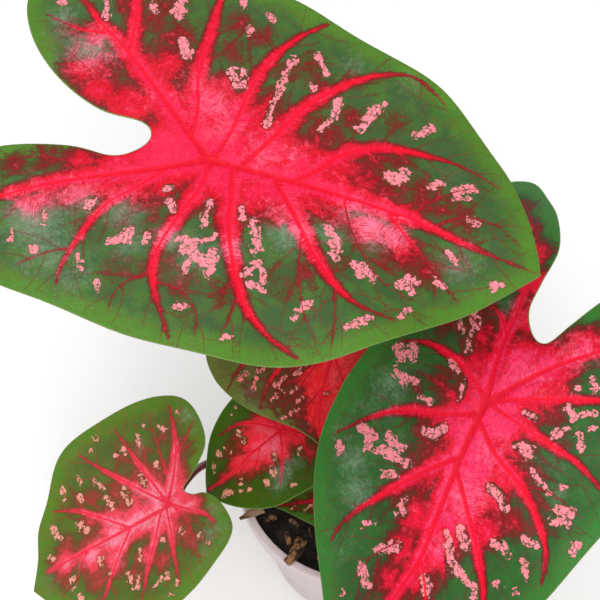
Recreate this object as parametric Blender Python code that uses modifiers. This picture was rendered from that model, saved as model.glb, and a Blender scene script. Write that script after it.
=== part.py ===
"""A red centred caladium growing in a four inch nursery pot.

Metres, +Z up. The origin is the middle of the pot's flat foot. Each blade lies in its own frame:
X runs along the midrib to the tip, Y to the left of it and Z out of the upper face, with the
origin where the leaf stalk joins. Sizes named in millimetres are turned into metres by MM.
"""

import math

import bmesh
import bpy
from mathutils import Matrix, Vector

MM = 0.001
GAP = 0.3 * MM
CLEARANCE = 0.35 * MM

# Pot, a thin moulded tub with a turned down lip
POT_HEIGHT = 88 * MM
FOOT_RADIUS = 37 * MM
FOOT_ROUND = 2.5 * MM
POT_WALL = 1.3 * MM
POT_FLOOR = 1.6 * MM
MOUTH_RADIUS = 48.6 * MM
LIP_RADIUS = 51.9 * MM
LIP_DEPTH = 9.5 * MM
LIP_ROUND = 0.9 * MM
POT_SIDES = 48
DRAIN_HOLES = 8
DRAIN_RADIUS = 4 * MM
DRAIN_RING = 26 * MM

# Potting soil, with the bark chips that lie in its top
SOIL_TOP = 77 * MM
SOIL_RINGS = 7
SOIL_SIDES = 32
SOIL_LUMP = 1.3 * MM
CHIPS_MM = (
    # x, y, length, width, height, turn in degrees
    (-25.5, -32.5, 10, 6.5, 4.2, 65),
    (-36, -16, 7, 4, 3, 20),
    (-14, -38, 6, 4, 3, -30),
    (9, -37, 9, 5, 3.6, 12),
    (30, -24, 7, 5, 3.2, -50),
    (38, 6, 8, 4.5, 3.4, 80),
    (25, 30, 9, 5, 3.6, 35),
    (-6, 39, 8, 5, 3.4, -15),
    (-33, 23, 9, 5.5, 3.8, 48),
    (-20, -14, 5, 4, 2.6, -70),
    (17, 14, 6, 4, 2.8, 25),
)

# Tuber, buried under the crown of the leaf stalks
TUBER_RADIUS = 19 * MM
TUBER_LOW = 40 * MM
TUBER_HIGH = 63 * MM
CROWN_RADIUS = 14 * MM

# Leaf blades and their stalks
BLADE_THICKNESS = 0.8 * MM
RIB_DEPTH = 1.7 * MM
RIB_HALF_MM = 1.3
MARGIN_POINTS = 2
STALK_KNEE = 5 * MM
STALK_STEP = 9 * MM

LEAVES = {
    "a": {
        "junction": (-57, 48, 262), "heading": -17, "pitch": 3, "roll": -2,
        "fold": 0.06, "droop_tip": 0.0007, "droop_lobes": 0.0010, "droop_sides": 0.0006,
        "wave": 1.6, "waves": 9, "reach": 85, "cell": 12.5,
        "outline": (
            (125, -2), (113, -16), (100, -30), (78, -51), (59, -65), (35, -74), (0, -76),
            (-37, -73), (-60, -68), (-79, -57), (-88, -41), (-86, -26), (-73, -15), (-50, -9),
            (-34, -9), (-26, -4), (-23, 3), (-28, 8), (-45, 9), (-64, 18), (-80, 33),
            (-90, 52), (-90, 70), (-79, 81), (-55, 86), (-28, 85), (0, 80), (24, 75),
            (51, 66), (76, 57), (100, 38), (114, 19), (122, 5),
        ),
        "ribs": (
            (0, 0, 112, 0), (0, 0, -62, 48), (0, 0, -66, -40),
            (4, 4, 14, 58), (14, 4, 52, 56), (1, -4, 0, -58), (10, -3, 38, -58),
            (34, -5, 72, -38), (34, 2, 88, 28), (-10, 9, -18, 56), (-15, -10, -34, -54),
        ),
        "stalk": ((2, 10, 78), (2, 32, 120), (0, 54, 166), (-9, 62, 200), (-32, 59, 233)),
        "stalk_radius": (2.9, 1.8),
    },
    "b": {
        "junction": (41.5, -23.5, 205), "heading": 237, "pitch": 20, "roll": 7,
        "fold": 0.03, "droop_tip": 0.003, "droop_lobes": 0.006, "droop_sides": 0.0008,
        "wave": 1.4, "waves": 8, "reach": 70, "cell": 12,
        "outline": (
            (111, 4), (104, -13), (92, -22), (67, -37), (40, -49), (18, -51), (-5, -49),
            (-43, -51), (-70, -54), (-88, -53), (-96, -44), (-91, -32), (-84, -22),
            (-71, -12), (-54, -8), (-42, -5), (-34, 2), (-34, 8), (-45, 11), (-62, 15),
            (-75, 21), (-81, 34), (-73, 48), (-58, 60), (-38, 67), (-12, 69), (19, 61),
            (48, 55), (70, 46), (90, 34), (104, 19),
        ),
        "ribs": (
            (0, 0, 98, 4), (-4, 1, -66, -22), (-4, 2, -60, 34),
            (-5, -4, -11, -38), (3, -3, 32, -42), (19, 3, 66, -26), (48, 6, 76, -16),
            (-4, 5, -24, 46), (-2, 5, 2, 52), (6, 5, 38, 50), (26, 6, 62, 36),
        ),
        "stalk": ((10, -2, 78), (22, -5, 115), (34, -11, 155), (41, -18.5, 188)),
        "stalk_radius": (2.8, 1.8),
    },
    "c": {
        "junction": (-4.5, 37, 184), "heading": 255, "pitch": 32, "roll": 8,
        "fold": -0.15, "droop_tip": 0.002, "droop_lobes": 0.006, "droop_sides": 0.0012,
        "wave": 1.0, "waves": 7, "reach": 60, "cell": 11,
        "outline": (
            (65, 2), (61, -9), (60, -20), (59, -31), (56, -41), (50, -51), (40, -58),
            (24, -60), (5, -57), (-12, -49), (-23, -37), (-26, -25), (-22, -14), (-13, -6),
            (-9, 0), (-12, 6), (-20, 13), (-23, 23), (-19, 33), (-8, 42), (8, 46),
            (25, 44), (41, 37), (54, 26), (62, 14),
        ),
        "ribs": (
            (0, 0, 62, 0), (0, 0, -16, 28), (0, 0, -18, -30),
            (3, -4, 18, -48), (24, -3, 50, -34), (4, 4, 20, 38), (26, 3, 48, 24),
        ),
        "stalk": ((-2, 4, 78), (-3, 15, 112), (-3.5, 31, 145), (-3.6, 39.5, 168)),
        "stalk_radius": (2.3, 1.5),
    },
    "d": {
        "junction": (-31.8, 2.8, 126), "heading": 211, "pitch": 24, "roll": 2,
        "fold": 0.08, "droop_tip": 0.004, "droop_lobes": 0.004, "droop_sides": 0.0015,
        "wave": 0.6, "waves": 6, "reach": 30, "cell": 8,
        "outline": (
            (44, -1), (39, -9), (31, -17), (21, -22), (11, -25), (1, -26), (-9, -25),
            (-17, -20), (-19, -13), (-14, -6), (-7, -2), (-6, 2), (-12, 6), (-18, 12),
            (-18, 20), (-12, 26), (-2, 29), (8, 28), (18, 26), (27, 21), (35, 14), (41, 6),
        ),
        "ribs": ((0, 0, 40, 0), (0, 0, -12, 18), (0, 0, -13, -16), (2, -2, 14, -17), (2, 2, 12, 20)),
        "stalk": ((-8, 4, 78), (-14, 6, 92), (-21, 7, 104), (-27.5, 6, 114)),
        "stalk_radius": (1.7, 1.1),
    },
    "e": {
        "junction": (-3, -15, 98), "heading": 190, "pitch": 10, "roll": 0,
        "fold": 0.08, "droop_tip": 0.004, "droop_lobes": 0.004, "droop_sides": 0.0015,
        "wave": 0.4, "waves": 5, "reach": 20, "cell": 7,
        "outline": (
            (34, -4), (28, -9), (19, -13), (9, -14), (-1, -14), (-8, -11), (-9, -6),
            (-4, -2), (-4, 1), (-9, 6), (-8, 11), (0, 15), (11, 14), (19, 9), (28, 1),
        ),
        "ribs": ((0, 0, 30, -3), (0, 0, -6, 8), (0, 0, -6, -9)),
        "stalk": ((-1, -7, 78), (-1.5, -9, 84), (-2.5, -12.5, 89.5)),
        "stalk_radius": (1.3, 1.0),
    },
    "f": {
        "junction": (-78.2, -28.4, 124), "heading": 205, "pitch": 13, "roll": 3,
        "fold": 0.08, "droop_tip": 0.0022, "droop_lobes": 0.0028, "droop_sides": 0.0003,
        "wave": 1.1, "waves": 7, "reach": 46, "cell": 9.5,
        "outline": (
            (67, 4), (61, -7), (56, -19), (46, -28), (34, -41), (22, -46), (3, -46),
            (-14, -44), (-23, -39), (-26, -29), (-24, -16), (-15, -7), (-8, -2), (-10, 2),
            (-15, 4), (-19, 10), (-20, 21), (-16, 28), (-7, 34), (6, 40), (19, 43),
            (32, 40), (46, 32), (58, 20),
        ),
        "ribs": (
            (0, 0, 58, 1), (0, 0, -16, -34), (0, 0, -13, 18),
            (1, -2, 22, -34), (3, 2, 8, 34), (20, 1, 44, -20), (20, 2, 40, 22),
        ),
        "stalk": ((-9, -3, 78), (-29, 0, 88), (-50, 2, 93), (-65, -1.5, 98), (-73, -16, 111)),
        "stalk_radius": (1.9, 1.5),
    },
}

# Dry brown sheath that lies over the lip
SHEATH_AT = (-45.4 * MM, -20.4 * MM)
SHEATH_LENGTH = 11 * MM
SHEATH_WIDTH = 5 * MM
SHEATH_TURN = math.radians(28)
SHEATH_THICKNESS = 0.7 * MM


def clear_scene():
    for thing in list(bpy.data.objects):
        bpy.data.objects.remove(thing, do_unlink=True)


def new_collection(name):
    collection = bpy.data.collections.new(name)
    bpy.context.scene.collection.children.link(collection)
    return collection


def material(name, colour, roughness):
    made = bpy.data.materials.new(name)
    made.use_nodes = True
    shader = made.node_tree.nodes["Principled BSDF"]
    shader.inputs["Base Color"].default_value = (*colour, 1)
    shader.inputs["Roughness"].default_value = roughness
    shader.inputs["Metallic"].default_value = 0
    made.diffuse_color = (*colour, 1)
    return made


def place_mesh(name, mesh, collection, finish=None):
    piece = bpy.data.objects.new(name, mesh)
    collection.objects.link(piece)
    if finish:
        mesh.materials.clear()
        mesh.materials.append(finish)
    return piece


def mesh_of(name, bm):
    bmesh.ops.recalc_face_normals(bm, faces=bm.faces)
    mesh = bpy.data.meshes.new(name)
    bm.to_mesh(mesh)
    bm.free()
    return mesh


def baked(piece):
    """The piece with its modifiers applied, as a plain mesh object of the same name."""
    graph = bpy.context.evaluated_depsgraph_get()
    mesh = bpy.data.meshes.new_from_object(piece.evaluated_get(graph))
    piece.modifiers.clear()
    if piece.type == "MESH":
        piece.data = mesh
        return piece
    name, matrix, collection = piece.name, piece.matrix_world.copy(), piece.users_collection[0]
    bpy.data.objects.remove(piece, do_unlink=True)
    bm = bmesh.new()
    bm.from_mesh(mesh)
    bmesh.ops.remove_doubles(bm, verts=bm.verts, dist=0.01 * MM)
    solid = place_mesh(name, mesh_of(name, bm), collection)
    solid.matrix_world = matrix
    return solid


def cut(piece, cutter, operation="DIFFERENCE"):
    boolean = piece.modifiers.new(operation.lower(), "BOOLEAN")
    boolean.operation = operation
    boolean.solver = "EXACT"
    boolean.object = cutter
    cutter.hide_render = True
    cutter.display_type = "WIRE"


def spun(name, profile, sides, collection, finish=None):
    """A closed profile of (radius, height) points turned round the Z axis."""
    bm = bmesh.new()
    ring = [bm.verts.new((r, 0, z)) for r, z in profile]
    edges = [bm.edges.new(pair) for pair in zip(ring, ring[1:] + ring[:1])]
    bmesh.ops.spin(
        bm, geom=ring + edges, cent=(0, 0, 0), axis=(0, 0, 1), angle=math.tau,
        steps=sides, use_merge=True,
    )
    bmesh.ops.remove_doubles(bm, verts=bm.verts, dist=0.01 * MM)
    return place_mesh(name, mesh_of(name, bm), collection, finish)


def arc(centre, radius, start, end, steps):
    """Points (radius, height) along an arc given in degrees."""
    turns = [math.radians(start + (end - start) * k / steps) for k in range(steps + 1)]
    return [(centre[0] + radius * math.cos(t), centre[1] + radius * math.sin(t)) for t in turns]


def wall_radius(height):
    """Outer radius of the pot's wall at a height."""
    return FOOT_RADIUS + (MOUTH_RADIUS + POT_WALL - FOOT_RADIUS) * height / POT_HEIGHT


def make_pot(parts, cutters):
    top = POT_HEIGHT
    skirt = top - LIP_DEPTH
    inner_skirt = LIP_RADIUS - POT_WALL
    profile = [(0, 0)]
    profile += arc((FOOT_RADIUS - FOOT_ROUND, FOOT_ROUND), FOOT_ROUND, -90, -8, 2)
    profile += [(wall_radius(skirt), skirt), (wall_radius(top) + 0.1 * MM, top - POT_WALL)]
    profile += [(inner_skirt - 0.2 * MM, top - POT_WALL), (inner_skirt - 0.5 * MM, skirt)]
    profile += [(LIP_RADIUS - 0.5 * MM, skirt)]
    profile += arc((LIP_RADIUS - LIP_ROUND, top - LIP_ROUND), LIP_ROUND, 0, 90, 2)
    profile += arc((MOUTH_RADIUS + LIP_ROUND, top - LIP_ROUND), LIP_ROUND, 90, 180, 2)
    profile += [(wall_radius(POT_FLOOR) - POT_WALL, POT_FLOOR), (0, POT_FLOOR)]
    pot = spun("pot", profile, POT_SIDES, parts, material("pot plastic", (0.62, 0.55, 0.57), 0.4))
    bm = bmesh.new()
    for k in range(DRAIN_HOLES):
        turn = Matrix.Rotation(math.tau * (k + 0.5) / DRAIN_HOLES, 4, "Z")
        bmesh.ops.create_cone(
            bm, cap_ends=True, segments=12, radius1=DRAIN_RADIUS, radius2=DRAIN_RADIUS,
            depth=4 * POT_FLOOR, matrix=turn @ Matrix.Translation((DRAIN_RING, 0, 0)),
        )
    cut(pot, place_mesh("drain_cutter", mesh_of("drain_cutter", bm), cutters))
    return baked(pot)


def soil_height(x, y):
    """Height of the lumpy soil over a point."""
    lumps = math.sin(190 * x + 1.3) * math.cos(230 * y) + 0.6 * math.sin(410 * x - 350 * y + 0.7)
    fade = min(1, max(0, (47 * MM - math.hypot(x, y)) / (6 * MM)))
    crown = 2.0 * MM * math.exp(-((x * x + y * y) / (22 * MM) ** 2))
    return SOIL_TOP + crown + SOIL_LUMP * lumps * fade


def make_chips():
    """Bark chips as one mesh of blunt wedges, sunk half way into the soil."""
    bm = bmesh.new()
    for x, y, length, width, height, turn in CHIPS_MM:
        spot = Vector((x * MM, y * MM, soil_height(x * MM, y * MM) + 0.1 * height * MM))
        size = Matrix.Diagonal((length * MM, width * MM, height * MM, 1))
        matrix = Matrix.Translation(spot) @ Matrix.Rotation(math.radians(turn), 4, "Z") @ size
        made = bmesh.ops.create_cube(bm, size=1, matrix=matrix)["verts"]
        lifted = sorted(made, key=lambda vert: -vert.co.z)[:4]
        for k, vert in enumerate(lifted):
            vert.co = spot + (vert.co - spot) * (0.72 + 0.05 * k)
    return bm


def make_soil(parts, cutters):
    wall = wall_radius(SOIL_TOP) - POT_WALL - CLEARANCE
    foot = wall_radius(POT_FLOOR) - POT_WALL - CLEARANCE - 0.3 * MM
    low = POT_FLOOR + GAP
    profile = [(0, low), (foot, low), (wall, SOIL_TOP)]
    profile += [(wall * (SOIL_RINGS - k) / (SOIL_RINGS + 0.5), SOIL_TOP) for k in range(SOIL_RINGS)]
    profile += [(0, SOIL_TOP)]
    soil = spun("soil", profile, SOIL_SIDES, parts, material("potting soil", (0.05, 0.035, 0.03), 0.95))
    for vert in soil.data.vertices:
        if vert.co.z > SOIL_TOP - MM:
            vert.co.z = soil_height(vert.co.x, vert.co.y)
    cut(soil, place_mesh("chip_joiner", mesh_of("chip_joiner", make_chips()), cutters), "UNION")
    return baked(soil)


def make_tuber(parts, cutters, name="tuber", grow=0.0):
    """The buried corm: a squat turned body with a flat crown. grow makes the hollow round it."""
    middle = (TUBER_LOW + TUBER_HIGH) / 2
    half = (TUBER_HIGH - TUBER_LOW) / 2 + grow
    belly = TUBER_RADIUS + grow
    crown = CROWN_RADIUS + grow
    profile = [(0, middle - half), (0.45 * belly, middle - 0.94 * half), (0.8 * belly, middle - 0.6 * half)]
    profile += [(belly, middle - 0.05 * half), (0.95 * belly, middle + 0.5 * half), (crown, middle + half)]
    profile += [(0, middle + half)]
    finish = material("tuber skin", (0.28, 0.17, 0.10), 0.85)
    return spun(name, profile, 28, cutters if grow else parts, finish)


def glide(before, here, there, after, share):
    """A point part way from here to there on a smooth line that passes through all four."""
    rise = (there - before) * share
    bend = (2 * before - 5 * here + 4 * there - after) * share ** 2
    twist = (3 * here - before - 3 * there + after) * share ** 3
    return here + 0.5 * (rise + bend + twist)


def smooth_loop(points, steps):
    """A closed line through the points, smooth everywhere but at the first, which is the tip."""
    knots = [Vector(point).to_2d() for point in points] + [Vector(points[0]).to_2d()]
    line = []
    for k in range(len(knots) - 1):
        here, there = knots[k], knots[k + 1]
        before = knots[k - 1] if k else here * 2 - there
        after = knots[k + 2] if k + 2 < len(knots) else there * 2 - here
        line += [glide(before, here, there, after, step / steps) for step in range(steps)]
    return line


def blade_height(leaf, x, y):
    """Height in millimetres of the blade over its own plane, with its fold, droop and waved edge."""
    fold = leaf["fold"] * (math.sqrt(y * y + 36) - 6)
    droop = (leaf["droop_tip"] if x > 0 else leaf["droop_lobes"]) * x * x
    sides = leaf["droop_sides"] * y * y
    out = min(1.25, math.hypot(x, y) / leaf["reach"])
    wave = leaf["wave"] * out ** 3 * math.sin(leaf["waves"] * math.atan2(y, x) + 0.6)
    return fold - droop - sides + wave


def slice_flat(bm, faces, point, normal):
    edges = {edge for face in faces for edge in face.edges}
    verts = {vert for face in faces for vert in face.verts}
    bmesh.ops.bisect_plane(
        bm, geom=[*faces, *edges, *verts], dist=0.02, plane_co=(*point, 0), plane_no=(*normal, 0)
    )


def rib_share(leaf, x, y):
    """How far a point is up the nearest rib, from 0 in the open blade to 1 on a rib's root."""
    share = 0
    for x0, y0, x1, y1 in leaf["ribs"]:
        along, away = rib_place((x0, y0, x1, y1), x, y)
        if -0.01 <= along <= 1 and away < 0.3:
            share = max(share, 1 - 0.7 * along)
    return share


def rib_place(rib, x, y):
    """Place along a rib, 0 to 1, and distance from its line."""
    start = Vector(rib[:2])
    run = Vector(rib[2:]) - start
    step = Vector((x, y)) - start
    return step.dot(run) / run.length_squared, abs(step.cross(run)) / run.length


def flat_blade(leaf):
    """The outline, cut into cells and along each side of its ribs, as triangles. Millimetres."""
    bm = bmesh.new()
    bm.faces.new([bm.verts.new((*point, 0)) for point in smooth_loop(leaf["outline"], MARGIN_POINTS)])
    for axis in (0, 1):
        reach = [vert.co[axis] for vert in bm.verts]
        normal = (1, 0) if axis == 0 else (0, 1)
        first = math.floor(min(reach) / leaf["cell"])
        for k in range(first, math.ceil(max(reach) / leaf["cell"])):
            spot = (k + 0.5) * leaf["cell"]
            slice_flat(bm, list(bm.faces), (spot, 0) if axis == 0 else (0, spot), normal)
    for rib in leaf["ribs"]:
        run = (Vector(rib[2:]) - Vector(rib[:2])).normalized()
        side = Vector((-run.y, run.x))
        for offset in (-RIB_HALF_MM, 0, RIB_HALF_MM):
            near = []
            for face in bm.faces:
                middle = face.calc_center_median()
                along, away = rib_place(rib, middle.x, middle.y)
                if -0.02 <= along <= 1 and away < leaf["cell"]:
                    near.append(face)
            slice_flat(bm, near, Vector(rib[:2]) + side * offset, side)
    bmesh.ops.remove_doubles(bm, verts=bm.verts, dist=0.25)
    bmesh.ops.triangulate(bm, faces=bm.faces)
    bmesh.ops.dissolve_degenerate(bm, dist=0.05, edges=bm.edges)
    bmesh.ops.triangulate(bm, faces=bm.faces)
    return bm


def blade_matrix(leaf):
    """The blade's frame: heading about Z, nose down by the pitch, then rolled about the midrib."""
    turn = Matrix.Rotation(math.radians(leaf["heading"]), 4, "Z")
    nose = Matrix.Rotation(math.radians(leaf["pitch"]), 4, "Y")
    roll = Matrix.Rotation(math.radians(leaf["roll"]), 4, "X")
    return Matrix.Translation(Vector(leaf["junction"]) * MM) @ turn @ nose @ roll


def make_blade(name, leaf, parts):
    bm = flat_blade(leaf)
    for vert in bm.verts:
        vert.co.z = blade_height(leaf, vert.co.x, vert.co.y)
    shares = [rib_share(leaf, vert.co.x, vert.co.y) for vert in bm.verts]
    bmesh.ops.scale(bm, verts=bm.verts, vec=(MM, MM, MM))
    for face in bm.faces:
        if face.normal.z < 0:
            face.normal_flip()
    mesh = bpy.data.meshes.new(name)
    bm.to_mesh(mesh)
    bm.free()
    blade = place_mesh(name, mesh, parts, material("blade_" + name, (0.45, 0.05, 0.08), 0.35))
    group = blade.vertex_groups.new(name="rib")
    for index, share in enumerate(shares):
        group.add([index], share, "REPLACE")
    skin = blade.modifiers.new("thickness", "SOLIDIFY")
    skin.thickness = BLADE_THICKNESS + RIB_DEPTH
    skin.thickness_vertex_group = BLADE_THICKNESS / skin.thickness
    skin.vertex_group = "rib"
    skin.offset = -1
    blade.matrix_world = blade_matrix(leaf)
    return blade


def stalk_line(leaf, clearance):
    """Points of a stalk's middle line, from the tuber's crown up to the underside of its blade."""
    matrix = blade_matrix(leaf)
    normal = matrix.to_3x3() @ Vector((0, 0, 1))
    top = matrix.translation - normal * (BLADE_THICKNESS + RIB_DEPTH + clearance)
    route = [Vector(point) * MM for point in leaf["stalk"]]
    knots = [*route, top - normal * STALK_KNEE, top]
    line = [Vector((route[0].x, route[0].y, TUBER_HIGH + GAP))]
    for k in range(len(knots) - 2):
        here, there = knots[k], knots[k + 1]
        before = knots[k - 1] if k else line[0]
        pace = max(2, round((there - here).length / STALK_STEP))
        line += [glide(before, here, there, knots[k + 2], step / pace) for step in range(pace)]
    return [*line, knots[-2], top]


def make_stalk(name, leaf, collection, finish, grow=0.0):
    """A tapered round stalk. grow makes the wider tool that bores its hole in the soil."""
    line = stalk_line(leaf, CLEARANCE)
    low, high = (radius * MM for radius in leaf["stalk_radius"])
    curve = bpy.data.curves.new(name, "CURVE")
    curve.dimensions = "3D"
    curve.bevel_depth = 1
    curve.bevel_resolution = 2
    curve.use_fill_caps = True
    spline = curve.splines.new("POLY")
    spline.points.add(len(line) - 1)
    for k, spot in enumerate(line):
        spline.points[k].co = (*spot, 1)
        spline.points[k].radius = low + (high - low) * k / (len(line) - 1) + grow
    stalk = bpy.data.objects.new(name, curve)
    collection.objects.link(stalk)
    solid = baked(stalk)
    solid.data.materials.append(finish)
    return solid


def make_sheath(parts):
    """A dry curled scrap that bends over the flat of the lip."""
    bm = bmesh.new()
    bmesh.ops.create_grid(bm, x_segments=8, y_segments=4, size=0.5)
    for vert in bm.verts:
        x, y = vert.co.x, vert.co.y
        narrow = 1 - 1.5 * x * x
        vert.co.y = y * narrow * SHEATH_WIDTH
        vert.co.x = x * SHEATH_LENGTH
        vert.co.z = 0.5 * MM * math.cos(3 * y) + 1.4 * MM * x * x + 0.4 * MM * math.sin(7 * x + 5 * y)
    bmesh.ops.triangulate(bm, faces=bm.faces)
    lowest = min(vert.co.z for vert in bm.verts)
    mesh = mesh_of("dry_sheath", bm)
    sheath = place_mesh("dry_sheath", mesh, parts, material("dry sheath", (0.42, 0.27, 0.16), 0.8))
    skin = sheath.modifiers.new("thickness", "SOLIDIFY")
    skin.thickness = SHEATH_THICKNESS
    skin.offset = 1
    sheath.location = (*SHEATH_AT, POT_HEIGHT + GAP - lowest)
    sheath.rotation_euler.z = SHEATH_TURN
    return sheath


def main():
    clear_scene()
    parts = new_collection("caladium")
    cutters = new_collection("cutters")
    make_pot(parts, cutters)
    soil = make_soil(parts, cutters)
    make_tuber(parts, cutters)
    cut(soil, make_tuber(parts, cutters, "tuber_hollow", CLEARANCE))
    baked(soil)
    stalk_finish = material("leaf stalk", (0.22, 0.02, 0.05), 0.3)
    for letter, leaf in LEAVES.items():
        make_blade("blade_" + letter, leaf, parts)
        make_stalk("stalk_" + letter, leaf, parts, stalk_finish)
        cut(soil, make_stalk("bore_" + letter, leaf, cutters, stalk_finish, CLEARANCE))
        baked(soil)
    make_sheath(parts)


main()
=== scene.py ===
"""Looks for the potted caladium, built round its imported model.

Metres, +Z up. A blade is worked out flat in its own frame, in millimetres, and then carried to its
place: X runs along the midrib to the tip, Y to the left of it and Z out of the upper face.
"""

import math
import random
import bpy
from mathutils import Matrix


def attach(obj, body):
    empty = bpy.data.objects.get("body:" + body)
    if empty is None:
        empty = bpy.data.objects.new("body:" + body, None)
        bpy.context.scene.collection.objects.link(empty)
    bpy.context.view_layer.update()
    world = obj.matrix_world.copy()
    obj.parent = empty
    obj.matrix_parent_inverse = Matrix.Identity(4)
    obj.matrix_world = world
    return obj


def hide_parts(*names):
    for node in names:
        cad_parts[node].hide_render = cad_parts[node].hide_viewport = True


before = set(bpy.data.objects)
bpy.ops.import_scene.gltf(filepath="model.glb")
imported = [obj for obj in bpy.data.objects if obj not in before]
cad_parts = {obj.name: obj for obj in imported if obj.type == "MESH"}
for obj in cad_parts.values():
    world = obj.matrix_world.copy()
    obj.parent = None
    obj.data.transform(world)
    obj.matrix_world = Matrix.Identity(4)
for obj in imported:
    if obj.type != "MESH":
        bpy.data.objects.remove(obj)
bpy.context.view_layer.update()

from types import SimpleNamespace

import bmesh
import bpy
import numpy as np
from mathutils import Matrix, Vector, noise

MM = 0.001

# Camera, which stands in front of the pot and looks down on it
CAMERA_PLACE = (-0.02435, -0.28202, 0.77585)
CAMERA_DROP = math.radians(62)
CAMERA_FIELD = math.radians(20)
SENSOR_WIDTH = 36

# Studio
FLOOR_SIZE = 3
SKY_STRENGTH = 0.5
LIGHT_SIZE = 0.9
LIGHT_AIM = (0, 0, 0.15)
LIGHTS = (
    # name, place, power
    ("overhead", (-0.35, 0.3, 1.25), 6.5),
    ("front", (0.06, -0.62, 1.15), 9.5),
)

# Pot, as in the model
POT_HEIGHT = 88 * MM
FOOT_RADIUS = 37 * MM
FOOT_ROUND = 2.5 * MM
POT_WALL = 1.3 * MM
POT_FLOOR = 1.6 * MM
MOUTH_RADIUS = 48.6 * MM
LIP_RADIUS = 51.9 * MM
LIP_DEPTH = 9.5 * MM
LIP_ROUND = 0.9 * MM
POT_SIDES = 144
FOOT_RISE = 0.6 * MM
SKIRT_ROUND = 0.65 * MM

# Soil, as in the model, with a finer roughness
SOIL_TOP = 77 * MM
SOIL_LUMP = 1.3 * MM
SOIL_ROUGHNESS = 0.9 * MM
SOIL_ROUGH_SCALE = 260
SOIL_SIDES = 120
SOIL_RINGS = 46
SOIL_STEPS = 8
SOIL_FADE_END = 47 * MM
SOIL_FADE = 6 * MM
CROWN_RISE = 2.0 * MM
CROWN_REACH = 22 * MM
CLEARANCE = 0.35 * MM
FLOOR_GAP = 0.3 * MM

# Crumbs and root hairs on the soil
CRUMBS = 1100
CRUMB_REACH = 45.5 * MM
CRUMB_LEAST = 0.35
CRUMB_SPREAD = 1.5
CRUMB_RISE = 0.25
ROOT_HAIRS = 34
ROOT_REACH = 40 * MM
ROOT_RADIUS = 0.14 * MM
ROOT_STEP = 0.9 * MM
ROOT_ARCH = 0.5 * MM
ROOT_LIFT = 0.3 * MM
ROOT_TAPER = 0.6
ROOT_BEND = 0.5

# Bark chips. How far they lie over the ground, their rounding, torn ends and furrows are shares
# of a chip's own size.
BARK_CUTS = 4
BARK_TILT = 14
BARK_RISE = 0.12
LIP_CHIP_RISE = 0.36
BARK_ROUND = 0.7
BARK_TORN = 0.13
BARK_FURROW = 0.16
SMALL_BARK = 46
SMALL_BARK_REACH_MM = 43
CHIPS_MM = (
    # x, y, length, width, height, turn in degrees
    (-25.5, -32.5, 10, 6.5, 4.2, 65),
    (-29.5, -27.5, 6, 3, 2.4, 100),
    (-37.5, -18, 6, 3.4, 2.6, 20),
    (-27, -20.5, 5, 3, 2.2, 140),
    (-14, -38, 6, 4, 3, -30),
    (9, -37, 9, 5, 3.6, 12),
    (30, -24, 7, 5, 3.2, -50),
    (38, 6, 8, 4.5, 3.4, 80),
    (25, 30, 9, 5, 3.6, 35),
    (-6, 39, 8, 5, 3.4, -15),
    (-33, 23, 9, 5.5, 3.8, 48),
    (-20, -14, 5, 4, 2.6, -70),
    (17, 14, 6, 4, 2.8, 25),
)
# The chip that lies on the pot's lip
LIP_CHIP_MM = (-27.6, -40.2, 7, 4.6, 2.6, 48)

# Tuber, as in the model
TUBER_RADIUS = 19 * MM
TUBER_LOW = 40 * MM
TUBER_HIGH = 63 * MM
CROWN_RADIUS = 14 * MM
TUBER_SIDES = 72
TUBER_STEPS = 9
TUBER_RINGING = 34
TUBER_RING_DEPTH = 0.35 * MM
TUBER_KNOB = 0.5 * MM
TUBER_KNOB_SCALE = 240
TUBER_TRIM = 0.6 * MM

# Blades, in millimetres. Shares and spreads go with a vein's half width.
BLADE_THICKNESS = 0.8
RIM_THICKNESS = 0.35
RIM_WIDTH = 0.45
RIM_REACH = 1.2
RIB_DEPTH = 1.7
RIB_SHARE = 1.6
RIB_SPREAD = 1.25
RIB_FADE = 4
GROOVE_SHARE = 0.32
GROOVE_REACH = 0.6
SWELL = 0.45
SWELL_REACH = 4
SWELL_FADE = 8
TWIG_GROOVE = 0.1
TWIG_REACH = 0.8
FOLD_ROUND = 6
WAVE_LIMIT = 1.25
WAVE_START = 0.6
MARGIN_POINTS = 7
CUT_SNAP = 0.001
CUT_SLACK = 0.002

# Veins, side veins (here called twigs) and painted marks, in millimetres and degrees. Starts,
# paces and unevenness are shares of the way between side veins.
FAR_OFF = 1e6
VEIN_TAPER = 0.72
VEIN_CALM = 2.5
RUN_APART = 13
RED_FADE = 0.6
RED_FADE_SHARE = 0.35
REDLESS = -9.0
GREENEST = -2
FLECKLESS = -20.0
TWIG_HALF = 0.3
TWIG_PACES = 5
TWIG_START = (0.2, 0.6)
TWIG_UNEVEN = 0.3
TWIG_VEIN_STEPS = 12
VEIN_STEPS = 3
RIM_STEPS = 4
TWIG_TURN = (38, 60)
TWIG_BEND = (-9, 4)
TWIG_LENGTH = (8, 18)
TWIG_RIM_GAP = 3.2
TWIG_VEIN_GAP = 0.8

# Stalks
STALK_KNEE = 5 * MM
STALK_STEP = 4 * MM
STALK_SIDES = 18
STALK_FLARE = 0.35
STALK_FLARE_HEIGHT = 7 * MM
STALK_SPREAD = 0.45 * MM
STALK_RIDGES = 6
STALK_RIDGE = 0.035

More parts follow.
